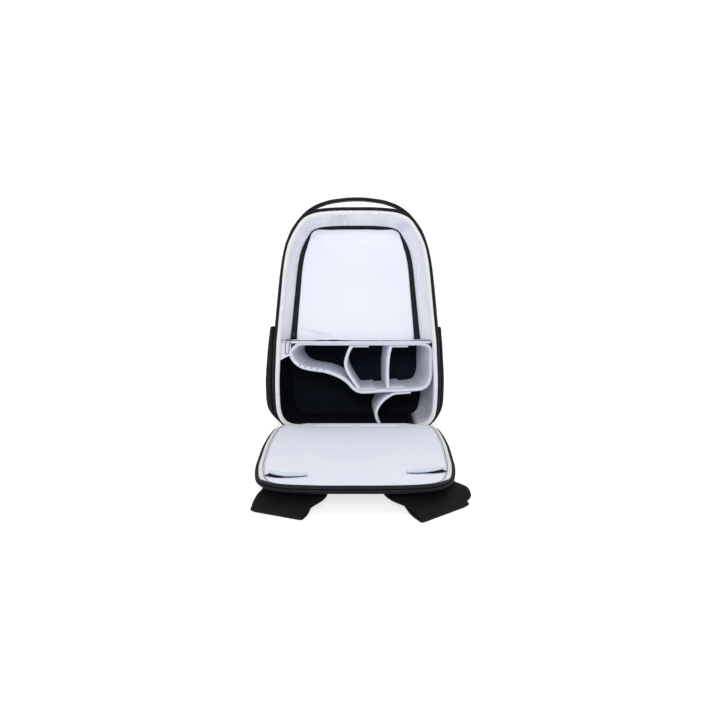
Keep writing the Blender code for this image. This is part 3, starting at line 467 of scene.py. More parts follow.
def shellRings(depths, inset=0.0):
    # the rim's outline widened, lifted and swollen as the rows of each depth say, and then
    # moved inwards along its own normals by the inset
    share = np.asarray(depths, float) / body["depth"]
    widen, top, bottom, bulge = (np.interp(share, shellTable[:, 0], shellTable[:, k])[:, None]
                                 for k in (1, 2, 3, 4))
    edge = rimFine + outward(rimFine) * body["shellEdge"]
    up = (edge[:, 1] - edge[:, 1].min()) / np.ptp(edge[:, 1])
    swell = np.interp(up, bulgeRows[:, 0], bulgeRows[:, 1]) * bulge * body["bulge"]
    x = edge[:, 0] * widen + np.clip(edge[:, 0] / (0.5 * halfWidth), -1, 1) * swell
    z = np.maximum((bottom + up * (top - bottom)) * body["height"], 0.0)
    loops = np.stack([x, z], axis=-1)
    return loops - outward(loops) * np.broadcast_to(inset, x.shape)[..., None]


def atDepth(loops, depths):
    # plane loops, each set at its depth behind the opening
    return place(loops[..., 0], frontY + np.asarray(depths, float)[:, None], loops[..., 1])


def padThickness(depths):
    # padding at each depth and point of the loop, thinner on the floor and above the shelf
    depths = np.asarray(depths, float)
    through = np.interp(depths / body["cellDepth"], padRows[:, 0], padRows[:, 1])[:, None]
    up = (rimFine[:, 1] - body["rimLift"]) / rimSpan
    share = np.clip(padShare["floor"] + (1 - padShare["floor"]) * up / 0.06, 0, 1)
    shelf = (body["shelf"] - body["rimLift"]) / rimSpan
    share = share - (1 - padShare["upper"]) * np.clip((up - shelf) / 0.05, 0, 1)
    share = np.where(depths[:, None] < 0.1 * body["cellDepth"], 1.0, share)
    return through * share


def liningInset(depths):
    # from the shell's outside to the padding's face: the wall, the gap and the padding
    return body["shellWall"] * body["liningSeat"] + gap + padThickness(depths)


def halfWidthInside(height, depth):
    # half the room between the padded side walls
    loop = shellRings([depth], liningInset([depth]))[0]
    right = loop[body["steps"]:rimTop - body["steps"]]
    return float(np.interp(height, right[:, 1], right[:, 0]))


view = {"lens": 30.0, "sensor": 36.0, "place": (0.007, -1.2585, 0.2955), "tilt": 82.6}


def makeCamera():
    # the photograph's viewpoint, with plain output, so that a white studio stays white
    data = bpy.data.cameras.new("photoCamera")
    data.lens, data.sensor_width = view["lens"], view["sensor"]
    camera = newObject("photoCamera", data)
    camera.location = view["place"]
    camera.rotation_euler = (math.radians(view["tilt"]), 0, 0)
    bpy.context.scene.camera = camera
    bpy.context.scene.view_settings.view_transform = "Standard"


makeCamera()

pullCord = {"diameter": 0.0014, "twist": 0.0060, "strands": 3, "strandRise": 0.10,
            "sliderHalf": 0.0018, "shelfSetback": 0.012, "points": 420,
            # across, share of the way to the shelf's edge, height, half the legs' space
            "rows": ((0.0000, 0.00, 0.0060, 0.0011), (-0.0012, 0.14, 0.0028, 0.0016),
                     (-0.0030, 0.42, 0.0006, 0.0027), (-0.0050, 0.74, 0.0004, 0.0036),
                     (-0.0062, 0.93, 0.0006, 0.0039), (-0.0070, 1.04, -0.0004, 0.0040),
                     (-0.0078, 1.07, -0.0050, 0.0040), (-0.0090, 1.07, -0.0140, 0.0037),
                     (-0.0100, 1.07, -0.0235, 0.0031))}


def makePullCord():
    # a three-strand cord: a circle carried along the route, its radius swelling with the twist
    (x, y, _), _ = boxOf("u_zip_slider")
    radius = pullCord["diameter"] / 2
    start = y - pullCord["sliderHalf"] - gap - radius
    edge = frontY + pullCord["shelfSetback"]
    rows = np.array(pullCord["rows"])
    middle = np.column_stack([x + rows[:, 0], start + (edge - start) * rows[:, 1],
                              body["shelf"] + gap + radius + rows[:, 2]])
    spread = rows[:, 3:4] * np.array([[1.0, 0.0, 0.0]])
    angle = np.radians([36, 72, 108, 144])[:, None]
    turn = middle[-1] - rows[-1, 3] * (np.cos(angle) * np.array([1.0, 0, 0])
                                       + np.sin(angle) * upward)
    route = evenly(curveThrough(np.vstack([middle - spread, turn, (middle + spread)[::-1]]), 10),
                   pullCord["points"])
    tangent = unit(np.gradient(route, axis=0))
    sideA = unit(np.cross(tangent, np.array([0.577, 0.577, -0.577])))
    sideB = np.cross(tangent, sideA)
    theta = fullTurn(12)
    run = lengthAlong(route)
    rise = pullCord["strandRise"]
    swell = 1 - rise + rise * np.cos(pullCord["strands"] * theta[None, :]
                                     - 2 * math.pi * run[:, None] / pullCord["twist"])
    grid = route[:, None, :] + radius * swell[..., None] * (
        np.cos(theta)[None, :, None] * sideA[:, None, :]
        + np.sin(theta)[None, :, None] * sideB[:, None, :])
    cord = tubePiece("pullCord", grid, "darkThread", "u_zip_pull")
    print("pull cord:", round(float(run[-1]), 4), "m")


makePullCord()

shellLook = {"rings": 56, "seamShare": 0.585, "seamDip": 0.0005, "seamPucker": 0.0003,
             "rumple": 0.00045, "ripple": 0.0011}


def closeEnd(mesh, count):
    # one face over the last ring of a grid, and every face turned outwards
    bm = bmesh.new()
    bm.from_mesh(mesh)
    face = bm.faces.new(list(bm.verts)[:-count - 1:-1])
    face.smooth = True
    bmesh.ops.recalc_face_normals(bm, faces=bm.faces)
    bm.to_mesh(mesh)
    bm.free()


def makeShell():
    # rings from the rim to the front, drawn in to a point there, dented by folds and one seam
    share = np.unique(np.concatenate([
        np.linspace(0, 1, shellLook["rings"]) ** 0.85,
        shellLook["seamShare"] + np.linspace(-0.018, 0.018, 9)]))
    first = shellRows[0, 0]
    depths = (first + (1 - first) * share) * body["depth"]
    loops = shellRings(depths)
    soft = (depths / body["depth"])[:, None]
    run = loopRun(rimFine)[None, :]
    free = np.clip((soft - 0.74) / 0.1, 0, 1)
    dent = softNoise(run, depths[:, None], 0.05, 0.16, 4) * (
        shellLook["rumple"] + shellLook["ripple"] * free)
    pucker = 0.5 + 0.5 * np.sin(2 * math.pi * run / 0.006 + 3 * ripple(run, run, 0.03, 0.08, 5))
    seam = hump(soft, shellLook["seamShare"], 0.010)
    seam = seam * (shellLook["seamDip"] + shellLook["seamPucker"] * pucker)
    grid = atDepth(loops - outward(loops) * (dent + seam)[..., None], depths)
    last = grid[-1]
    centre = last.mean(axis=0)
    front = centre + (last - centre) * np.linspace(1, 0, 12)[1:-1, None, None]
    piece = clothPiece("outerShell", np.concatenate([grid, front]), "shellNylon", "shell",
                       wrapCols=True, flip=True, wall=body["shellWall"])
    closeEnd(piece.data, rimCount)


pocketLook = {"wall": 0.0015, "low": 4, "high": 11, "hem": 0.012, "fullness": (1.07, 1.04),
              "left": {"name": "side_pocket_left", "sign": -1, "bulge": 0.0150},
              "right": {"name": "side_pocket_right", "sign": 1, "bulge": 0.0060}}


def makePocket(facts):
    # the shell's own side surface lifted by a swell that is full in the middle of its belly
    # and low at its seams, with an elastic hem gathered into small folds
    shares = np.interp(np.linspace(0, 4, 61), np.arange(5), shellRows[1:6, 0])
    depths = shares * body["depth"]
    low, high = pocketLook["low"] * body["steps"], pocketLook["high"] * body["steps"]
    index = np.arange(low, high + 1)
    if facts["sign"] < 0:
        index = (rimCount - index) % rimCount
    loops = shellRings(depths)
    base, normal = loops[:, index], outward(loops)[:, index]
    through = np.linspace(0, 1, len(depths))[:, None]
    up = np.linspace(0, 1, len(index))[None, :]
    swell = np.sin(math.pi * through) ** 0.7 * (1 - (1 - np.minimum(up / 0.35, 1)) ** 2)
    swell = swell * (1.0 - 0.45 * np.maximum(up - 0.5, 0) / 0.5)
    z = base[..., 1]
    hem = np.clip((z - (z[:, -1:] - pocketLook["hem"])) / 0.002, 0, 1)
    folds = np.sin(2 * math.pi * depths[:, None] / 0.0075
                   + 2.5 * ripple(depths[:, None], z, 0.02, 0.05, 8))
    relief = 0.0008 * hem + 0.0004 * folds * np.clip((up - 0.55) / 0.4, 0, 1) * (1 - 0.5 * hem)
    relief = relief + 0.0006 * softNoise(depths[:, None], z, 0.03, 0.08, 9) * swell
    reach = gap + facts["bulge"] * swell + pocketLook["wall"] + relief * (swell > 0.02)
    skin = base + normal * reach[..., None]
    grid = place(skin[..., 0], (frontY + depths)[:, None], skin[..., 1])
    piece = clothPiece(facts["name"].replace("side_pocket", "stretchPocket"), grid,
                       "pocketKnit", facts["name"], flip=facts["sign"] > 0,
                       wall=pocketLook["wall"])


makeShell()
for side in ("left", "right"):
    makePocket(pocketLook[side])
print("outer bag done")


def threads(name, middle, along, up, pitch, radius, look):
    # one small barrel, arched along its length, repeated at each middle and heading
    count = len(middle)
    along = unit(along)
    side = unit(np.cross(along, np.broadcast_to(up, along.shape)))
    top = np.cross(side, along)
    theta = fullTurn(6)
    shares = np.array([-0.36, -0.30, -0.12, 0.12, 0.30, 0.36])
    fat = np.array([0.25, 0.75, 1.0, 1.0, 0.75, 0.25])
    arch = radius * 0.7 * (1 - (shares / 0.36) ** 2)
    grid = (middle[:, None, None, :]
            + along[:, None, None, :] * (shares * pitch)[None, :, None, None]
            + top[:, None, None, :] * (arch[None, :, None, None]
                                       + (fat[:, None] * radius * np.sin(theta))[None, ..., None])
            + side[:, None, None, :] * (fat[:, None] * radius * np.cos(theta))[None, ..., None])
    faces, _ = gridFaces(6, 6, False, True)
    faces = (faces[None] + (np.arange(count) * 36)[:, None, None]).reshape(-1, 4).tolist()
    ends = np.arange(count)[:, None] * 36
    faces += (ends + np.arange(6)[None, ::-1]).tolist()
    faces += (ends + 30 + np.arange(6)[None, :]).tolist()
    addPiece(name, grid, faces, None, look, solid=True)


def stitches(name, line, up, pitch, radius, look):
    # a row of short rounded threads at even steps along a line
    run = lengthAlong(line)
    count = max(int(run[-1] / pitch), 1)
    at = (np.arange(count) + 0.5) * run[-1] / count
    middle = readAt(at, run, line)
    threads(name, middle, readAt(at + pitch * 0.3, run, line) - middle, up, pitch, radius, look)


bindingLook = {"section": ((0.0, 0.05), (-0.05, -0.50), (-0.17, -0.80), (-0.34, -0.97),
                           (-0.50, -1.0), (-0.64, -0.95), (-0.74, -0.72), (-0.80, -0.80),
                           (-0.90, -0.62), (-1.0, 0.05), (-0.8, 0.85), (-0.2, 0.85)),
               "stitch": 0.0034, "stitchReach": -0.74, "thread": 0.00030, "flapThread": 0.00055}


def makeRimBinding():
    # rolled tape: a rounded section with a sewn groove, pulled in a little at each stitch
    width, half = body["bindingWidth"], body["bindingThick"] / 2
    profile = curveThrough(bindingLook["section"], 2, closed=True)
    base, normal = fineLoop(rimControl, 24)
    run = loopRun(base)
    wander = 0.00035 * ripple(run, run * 0.3, 0.03, 0.09, 12)
    tuck = beat(run, bindingLook["stitch"])
    groove = hump(profile[:, 0], bindingLook["stitchReach"], 0.07) * (profile[:, 1] < 0)
    deep = profile[:, 1][None, :] * half * (1 - 0.10 * ripple(run, run, 0.02, 0.05, 13)[:, None])
    deep = deep + 0.00045 * groove[None, :] * (0.6 + 0.4 * tuck[:, None])
    reach = np.minimum(profile[:, 0][None, :] * width + wander[:, None]
                       * (profile[:, 0][None, :] < -0.1), 0.0)
    x, z = moved(base, normal, reach)
    clothPiece("rimBinding", place(x, frontY + deep, z), "bindingTape", "rim_binding",
               wrapRows=True, wrapCols=True, flip=True)
    seam = base + normal * bindingLook["stitchReach"] * width
    line = place(seam[:, 0], frontY - 0.60 * half, seam[:, 1])
    stitches("rimStitches", np.vstack([line, line[:1]]), toViewer, bindingLook["stitch"],
             bindingLook["thread"], "paleThread")


zipLook = {"pitch": 0.0021, "tooth": 0.0007, "toothWidth": 0.0010, "toothAt": 0.62,
           "points": 2200, "perStep": 44}


def zipBand(name, node, control, startAt, shape, toothAt, lift, mapTo):
    # a tape from one lower corner over the top to the other, whose section swells into one
    # coil tooth after another along its run
    fine, normal = fineLoop(control, zipLook["perStep"])
    start = int(np.argmax(fine[:, 1] >= startAt))
    used = np.arange(start, len(fine) - start + 1)
    base = evenly(fine[used], zipLook["points"])
    run = lengthAlong(base)
    near = readAt(run, lengthAlong(fine[used]), normal[used])
    pulse = beat(run, zipLook["pitch"])
    tooth = lift * hump(shape[:, 0], toothAt, zipLook["toothWidth"])
    across, along = moved(base, near, shape[:, 0])
    tubePiece(name, mapTo(across, along, shape[:, 1] + tooth * pulse[:, None]), "zipTape", node)


def makeMainZipBody():
    # flat tape beside the binding with a coil near its outer edge; section in shares
    shares = np.array([(0.0, 0.0), (0.0, -0.45), (0.25, -0.50), (0.45, -0.62), (0.62, -0.75),
                       (0.80, -0.62), (0.95, -0.35), (1.0, 0.0), (0.5, 0.0)])
    shape = shares * (body["zipWidth"], body["zipThick"]) + (gap, body["setback"] - gap)
    zipBand("mainZipBody", "main_zip_body", rimControl, body["rimLift"] + 0.06201 * rimSpan,
            shape, gap + zipLook["toothAt"] * body["zipWidth"], -zipLook["tooth"],
            lambda x, z, deep: place(x, frontY + deep, z))


makeRimBinding()
makeMainZipBody()
print("rim done")


def makeLiningWalls():
    # a closed band: outer face against the shell, inner face swollen by its padding
    depths = np.concatenate([[padRows[0, 0] * body["cellDepth"]],
                             np.linspace(0.005, body["cellDepth"], 34)])
    wall = body["shellWall"] * body["liningSeat"] + gap
    outer = atDepth(shellRings(depths, wall), depths)
    soft = ripple(loopRun(rimFine)[None, :], depths[:, None], 0.018, 0.06, 21)
    fade = np.clip((depths - 0.006) / 0.02, 0, 1)[:, None]
    inset = liningInset(depths) - 0.0007 * fade * (0.5 + 0.5 * soft)
    inner = atDepth(shellRings(depths, inset), depths)
    sections = np.concatenate([outer, inner[::-1]]).transpose(1, 0, 2)
    # the lining walls carry painted shade on the lower left of the cells
    piece = clothPiece("liningWalls", sections, "cellLiningShaded", "lining_walls", wrapRows=True,
                       wrapCols=True)


makeLiningWalls()
upper = {"inset": 0.0220, "splay": 0.0020, "shift": -0.0025, "depthLow": 0.050,
         "depthTop": 0.072, "tapeWidth": 0.0100, "tapeThick": 0.0016, "wall": 0.0025,
         "panelWall": 0.0025, "skinShare": 0.8, "bulge": 0.0060,
         "tapeRows": np.array([(0.00, 1.15), (0.30, 1.00), (0.60, 0.86), (0.665, 0.48),
                               (0.700, 0.20), (0.755, 0.20), (0.79, 0.46), (0.84, 0.66),
                               (1.00, 0.68)])}
shelfStart = body["shelf"] + gap


def archBase(perStep):
    # right half of the rim above the shelf, with its normals, up to the middle of the top
    fine, normal = fineLoop(rimControl, perStep)
    half = slice(0, len(fine) // 2 + 1)
    fine, normal = fine[half], normal[half]
    keep = fine[:, 1] > shelfStart + 0.006
    first = np.array([[np.interp(shelfStart, fine[:, 1], fine[:, 0]), shelfStart]])
    line = np.vstack([first, fine[keep]])
    return line, np.vstack([[(1.0, 0.0)], normal[keep]])


def uDepth(height):
    # depth of the upper zip behind the opening, growing with the height
    share = (height - body["shelf"]) / (body["height"] - body["shelf"])
    return upper["depthLow"] + (upper["depthTop"] - upper["depthLow"]) * np.clip(share / 0.75, 0, 1)


def archOffset(line, normal, low, top):
    # the arch moved inwards by a reach that goes from low to top with the height
    share = (line[:, 1] - shelfStart) / (body["height"] - shelfStart)
    share[0] = 0.0
    return line - normal * (low + (top - low) * share)[:, None]


surroundLook = {
    "perStep": 14, "rows": 46, "overlap": 0.0022, "bend": 1.15, "gatherRise": 3.1,
    # where along the arch from right to left, width, how deep, folds per metre, slant
    "gathers": ((0.500, 0.095, 0.00100, 92, 0.012), (0.572, 0.055, 0.00170, 100, -0.010),
                (0.648, 0.022, 0.00170, 84, 0.050), (0.362, 0.022, 0.00140, 80, -0.050),
                (0.200, 0.130, 0.00050, 46, 0.060), (0.830, 0.120, 0.00050, 44, -0.060))}


def makeSurround():
    # the wall from the rim back to the zip, with gathers that run from one to the other
    line, normal = archBase(surroundLook["perStep"])
    near = body["bindingWidth"] - surroundLook["overlap"]
    steps = np.linspace(0, 1, surroundLook["rows"])
    rows = []
    for v in steps:
        bent = v ** surroundLook["bend"]
        low = near + (upper["inset"] + upper["splay"] - near) * bent
        top = near + (upper["inset"] - near) * bent
        edge = bothSides(archOffset(line, normal, low, top))
        deep = body["setback"] + (uDepth(edge[:, 1]) - body["setback"]) * v
        rows.append(place(edge[:, 0] + upper["shift"] * v, frontY + deep, edge[:, 1]))
    grid = np.stack(rows)
    face = unit(np.cross(np.gradient(grid, axis=1), np.gradient(grid, axis=0)))
    middle = np.array([0.0, 0.0, 0.25])
    face *= np.sign(((middle - grid) * face).sum(-1, keepdims=True) + 1e-9)
    run = lengthAlong(grid[20])
    s = (run / run[-1])[None, :]
    v = steps[:, None]
    metres = run[None, :]
    lift = 0.0
    for where, width, deep, folds, slant in surroundLook["gathers"]:
        phase = math.pi * folds * (metres + slant * (v - 0.5))
        wave = np.sin(phase + 2.6 * ripple(metres, v * 0.05, 0.05, 0.12, int(where * 100)))
        fold = (1 - 2 * np.abs(wave) ** 0.8) * (0.75 + 0.5 * np.sin(phase * 0.31 + where * 40))
        lift = lift + deep * hump(s, where, width) * fold
    lift = lift * np.sin(math.pi * v) ** 0.6 * np.clip((1 - v) / 0.12, 0, 1)
    lift = lift + 0.0009 * ripple(metres, v * 0.055, 0.03, 0.10, 31) * np.sin(math.pi * v) ** 0.5
    lift = lift * surroundLook["gatherRise"] + 0.0002 * np.sin(math.pi * v)
    piece = clothPiece("upperSurround", grid + face * lift[..., None], "liningCloth",
                       "upper_surround", wall=upper["wall"] * upper["skinShare"])


def tapeEdges(perStep):
    # outer and inner edge of the tape, right half, and the way inwards
    line, normal = archBase(perStep)
    outer = archOffset(line, normal, upper["inset"] + upper["splay"] + gap, upper["inset"] + gap)
    run = lengthAlong(outer)
    widths = np.interp(run / run[-1], upper["tapeRows"][:, 0], upper["tapeRows"][:, 1])
    inward = sideways(outer)
    inward[0], inward[-1] = (-1.0, 0.0), (0.0, -1.0)
    return outer, outer + inward * (widths * upper["tapeWidth"])[:, None], inward


def makeUZipTape():
    # the tape between its two edges, crowned along the middle into coil teeth
    outer, inner, _ = tapeEdges(40)
    outer, inner = bothSides(outer), bothSides(inner)
    outerEven = evenly(outer, 1500)
    run = lengthAlong(outerEven)
    source = lengthAlong(outer)
    innerEven = readAt(run / run[-1], source / source[-1], inner)
    a = np.linspace(0, 1, 9)[None, :, None]
    flat = outerEven[:, None, :] * (1 - a) + innerEven[:, None, :] * a
    pulse = beat(run[:, None], zipLook["pitch"])
    crown = hump(a[..., 0], 0.5, 0.16) * (0.0004 + 0.0006 * pulse)
    edge = np.abs(2 * a[..., 0] - 1) ** 6 * 0.0003
    y = frontY + uDepth(flat[..., 1]) - crown + edge
    clothPiece("upperZipTape", place(flat[..., 0] + upper["shift"], y, flat[..., 1]), "zipTape",
               "u_zip_tape", wall=upper["tapeThick"] * upper["skinShare"], flip=True)


panelLook = {
    "skirt": 0.026, "skirtRise": 0.0042, "turnIn": 0.0035, "dome": 0.85, "topFade": 0.012,
    "lowFade": 0.006, "dipRise": 0.035,
    # folds: from (x, z), to (x, z), height, width
    "folds": ((-0.116, 0.209, -0.044, 0.189, 0.0080, 0.0048),
              (-0.108, 0.198, -0.050, 0.1835, -0.0070, 0.0038),
              (-0.101, 0.388, -0.068, 0.358, 0.0060, 0.0026),
              (-0.090, 0.393, -0.058, 0.366, 0.0050, 0.0026),
              (-0.105, 0.376, -0.080, 0.348, 0.0045, 0.0028),
              (-0.100, 0.350, -0.060, 0.338, 0.0022, 0.0060),
              (0.100, 0.386, 0.072, 0.356, 0.0055, 0.0028),
              (0.090, 0.392, 0.064, 0.366, 0.0045, 0.0026),
              (0.104, 0.366, 0.084, 0.326, 0.0035, 0.0040),
              (-0.020, 0.372, -0.030, 0.350, 0.0013, 0.0036),
              (0.020, 0.372, 0.027, 0.352, 0.0012, 0.0036),
              (0.070, 0.186, 0.020, 0.196, 0.0012, 0.0060))}


def foldHeight(x, z, folds):
    # each fold is a rounded ridge along a line, high in the middle and fading to both ends
    total = np.zeros(np.broadcast(x, z).shape)
    for x0, z0, x1, z1, tall, wide in folds:
        run = math.hypot(x1 - x0, z1 - z0)
        ex, ez = (x1 - x0) / run, (z1 - z0) / run
        along = (x - x0) * ex + (z - z0) * ez
        off = -(x - x0) * ez + (z - z0) * ex + 0.0015 * np.sin(along / run * 5)
        total = total + tall * hump(off, 0, wide) * hump(along / run, 0.5, 0.45)
    return total


def makePanel():
    # the domed sheet between the zip's sides, row by row up to the corners, with soft folds;
    # between the corners its top follows the tape's lower edge
    outer, inner, inward = tapeEdges(14)
    edge = inner + inward * gap
    edge[0, 1] = shelfStart
    corner = int(np.argmax(edge[:, 1] > edge[:, 1].max() - panelLook["turnIn"]))
    over = edge[corner:]
    over = over[np.argsort(over[:, 0])]
    # rows closer together at the foot, where the skirt rolls forward
    at = np.concatenate([np.linspace(0, 0.045, 32)[:-1], np.linspace(0.045, 1, 142)])
    edge = readAt(at, np.linspace(0, 1, 400), evenly(edge[:corner + 1], 400))
    foot, head = edge[0, 1], edge[-1, 1]
    share = ((edge[:, 1] - foot) / (head - foot))[:, None]
    across = np.linspace(1, -1, 121)[None, :]
    dome = upper["bulge"] * np.maximum(1 - share, 0) ** panelLook["dome"]
    lift = dome * (0.55 + 0.45 * (1 - share))
    x = edge[:, :1] * across
    z = np.broadcast_to(edge[:, 1:], x.shape)
    inside = (1 - across ** 2) ** 0.7
    top = np.clip((head - z) / panelLook["topFade"], 0, 1)
    low = np.clip((z - foot) / panelLook["lowFade"], 0.15, 1)
    relief = foldHeight(x, z, panelLook["folds"])
    relief = relief + 0.0011 * ripple(x, z, 0.05, 0.14, 41) + 0.0003 * ripple(x, z, 0.012, 0.03, 42)
    y = frontY + uDepth(z) - lift * (1 - across ** 2) - relief * inside * top * low
    skirt = panelLook["skirt"] * np.exp(-(z - foot) / panelLook["skirtRise"])
    sag = 1 + 0.20 * ripple(x, 0 * x, 0.05, 0.12, 43)
    y = y - skirt * sag * (1 - np.abs(across) ** 12)
    dip = head - np.interp(np.abs(x), over[:, 0], over[:, 1])
    z = z - dip * np.clip((z - head) / panelLook["dipRise"] + 1, 0, 1) ** 2
    grid = place(x + upper["shift"], y, z)
    piece = clothPiece("upperPanel", grid, "panelCloth", "upper_panel",
                       wall=upper["panelWall"] * upper["skinShare"], flip=True)


shelfLook = {"thick": 0.0015, "setback": 0.012, "skinShare": 0.8, "dip": 0.00012}


def makeCompartmentFloor():
    # a thin sheet from wall to wall, sagging a little between the dividers under it
    depths = np.linspace(shelfLook["setback"], body["cellDepth"], 30)
    half = np.array([halfWidthInside(body["shelf"], d) for d in depths]) - 2 * gap
    x = half[:, None] * np.linspace(-1, 1, 90)[None, :]
    y = (frontY + depths)[:, None]
    dip = shelfLook["dip"] * (1 + ripple(x, y, 0.03, 0.08, 51))
    piece = clothPiece("compartmentFloor", place(x, y, body["shelf"] - dip), "liningCloth",
                       "compartment_floor", wall=shelfLook["thick"] * shelfLook["skinShare"])


shelfRoll = {"setback": 0.0124, "deep": 0.0010, "tall": 0.0023, "lift": 0.0011,
             "thin": 0.00050, "thick": 0.00095, "thickAt": -0.050, "thickWidth": 0.026,
             "endLeft": 0.014, "endRight": 0.004}


def makeShelfEdgeAndShade():
    # two slim tubes of oval section along the shelf's front edge: the pale rolled edge, and a dark
    # tube of painted shade for the gap on it, which is thickest left of the middle
    half = halfWidthInside(body["shelf"], shelfLook["setback"])
    x = np.linspace(shelfRoll["endLeft"] - half, half - shelfRoll["endRight"], 260)[:, None]
    wander = ripple(x, x, 0.02, 0.07, 52)
    turn = fullTurn(14)[None, :]
    y = frontY + shelfRoll["setback"] + shelfRoll["deep"] * np.cos(turn)
    low = body["shelf"] - shelfRoll["tall"] + gap
    z = low + (shelfRoll["tall"] + 0.0002 * wander) * np.sin(turn)
    roll = tubePiece("shelfEdge", place(x, y, z), "dividerCloth")
    # the dark tube is painted shade in the gap at the shelf's front edge
    tall = shelfRoll["thin"] + shelfRoll["thick"] * hump(x, shelfRoll["thickAt"],
                                                         shelfRoll["thickWidth"])
    z = body["shelf"] + shelfRoll["lift"] + tall * (1 + 0.6 * wander) * (0.4 + np.sin(turn))
    tubePiece("shelfGapShade", place(x, y - gap, z), "navyBackAndShade")


tuck = {"low": (0.1385, 0.1515), "wallDepth": 0.0085, "loopDepth": 0.0165, "reach": -0.874}


def makeCornerTuck():
    # the lining's loose corner left of the cells: rows from the shelf down to a slanting
    # edge, bowed back from the wall to the loop
    wall = -halfWidthInside(0.155, tuck["wallDepth"]) - 0.0015
    loop = tuck["reach"] * loopScale[0]
    a = np.linspace(0, 1, 26)[None, :]
    b = np.linspace(0, 1, 34)[:, None]
    low = tuck["low"][0] + (tuck["low"][1] - tuck["low"][0]) * a ** 0.8
    z = (body["shelf"] - 0.0022) * (1 - b) + low * b
    x = wall + (loop - wall) * a + 0 * b
    y = tuck["wallDepth"] + (tuck["loopDepth"] - tuck["wallDepth"]) * a ** 1.4
    y = y + 0.0006 * ripple(x, z, 0.008, 0.022, 53) + 0.0008 * np.sin(math.pi * b) * a
    grid = place(x, frontY + y, z)
    piece = clothPiece("cornerTuck", grid, "panelCloth", wall=0.0008, flip=True)


makeSurround()
makeUZipTape()
makePanel()
makeCompartmentFloor()
makeShelfEdgeAndShade()
print("upper compartment done")

cell = {"setback": 0.014, "loopThick": 0.0070, "thick": 0.0064, "tabThick": 0.0032,
        "tabLength": 0.031, "shelfThick": 0.0015, "round": 0.0030, "backSeat": 1.25,
        "notches": (0.835, 0.853, 0.872, 0.890, 0.908), "notchDeep": 0.60,
        "loopRows": ((-0.744, 1.000), (-0.399, 1.000), (0.000, 1.000), (0.399, 1.000),
                     (0.698, 1.000), (0.884, 0.997), (0.963, 0.968), (1.000, 0.910),
                     (1.000, 0.789), (1.000, 0.645), (0.970, 0.541), (0.890, 0.481),
                     (0.711, 0.461), (0.379, 0.452), (0.086, 0.438), (-0.027, 0.472),
                     (-0.120, 0.553), (-0.233, 0.619), (-0.412, 0.677), (-0.611, 0.703),
                     (-0.738, 0.732), (-0.827, 0.789), (-0.877, 0.858), (-0.870, 0.916),
                     (-0.817, 0.968)),
        "leftWeb": ((0.034, 0.0), (-0.040, 0.565), (-0.115, 0.670), (-0.147, 0.775),
                    (-0.113, 0.893), (-0.066, 1.0)),
        "rightWeb": ((0.425, 0.0), (0.419, 0.582), (0.419, 0.720), (0.432, 0.864),
                     (0.458, 1.0)),
        "lensTab": (0.731, 0.631, 0.540),
        "lensWeb": ((0.439, 0.388), (0.352, 0.330), (0.292, 0.257), (0.266, 0.190),
                    (0.279, 0.115), (0.312, 0.0))}


def loopReach(depth):
    # half the room for the loop at a depth: the least at three heights, less half its wall
    narrow = min(halfWidthInside(share * body["shelf"], depth) for share in (0.62, 0.75, 0.9))
    return narrow - gap - cell["loopThick"] / 2


frontReach = loopReach(cell["setback"])
taper = loopReach(body["cellDepth"]) / frontReach
loopScale = np.array([frontReach, body["shelf"] - cell["shelfThick"] - gap
                      - cell["loopThick"] / 2])


def loopFaces():
    # outer face, inner face, middle line and inward normals of the loop
    line = curveThrough(np.array(cell["loopRows"]) * loopScale, 14, closed=True)
    turn = np.sign(np.sum(line[:, 0] * np.roll(line[:, 1], -1)
                          - np.roll(line[:, 0], -1) * line[:, 1]))
    side = -outward(line) * turn
    half = cell["loopThick"] / 2
    return line - side * half, line + side * half, line, -side


loopOuter, loopInner, loopLine, loopNormal = loopFaces()


def faceHeight(face, x, lower):
    # height of the loop's lower or upper face at a place across
    split = 0.75 * loopScale[1]
    part = face[face[:, 1] < split] if lower else face[face[:, 1] > split]
    part = part[np.argsort(part[:, 0])]
    return np.interp(x, part[:, 0], part[:, 1])


def drawnIn(depth):
    # how much the cells narrow at a depth
    share = (depth - cell["setback"]) / (body["cellDepth"] - gap - cell["setback"])
    return 1 + (taper - 1) * np.clip(share, 0, 1)


def padStrip(name, node, line, normal, thick, seed, closed=False, notches=()):
    # a padded strip: a round-edged section carried along its centre line, with a sewn edge
    # and notches where it is stitched across
    near, far = cell["setback"], body["cellDepth"] - gap
    run = lengthAlong(np.vstack([line, line[:1]]) if closed else line)
    total, run = run[-1], run[:len(line), None]
    side, deep = padEdge(2.0, near, far, cell["round"], 16)
    slim = 0.10 * hump(deep, near + 0.0085, 0.0012)
    slim = slim + 0.05 * softNoise(run, deep, 0.02, 0.05, seed)
    plump, front = 1.0, 0.0
    for share in notches:
        slim = slim + cell["notchDeep"] * hump(run, share * total, 0.0012) \
            * hump(deep, near, 0.010) * (side < 0)
        front = front + 0.0016 * hump(run, share * total, 0.0018)
    if notches:
        plump = 1 + 0.22 * hump(run, np.mean(notches) * total, 0.030) \
            * hump(deep, near, 0.020) * (side < 0)
    half = np.reshape(thick, (-1, 1)) / 2 * side * (1 - np.clip(slim, 0, 0.7)) * plump
    x, z = moved(line, normal, half)
    y = frontY + deep + front * (deep < near + 0.004)
    piece = clothPiece(name, place(x * drawnIn(deep), y, z), "dividerCloth", node,
                       wrapRows=closed, wrapCols=True, caps=not closed, solid=True)


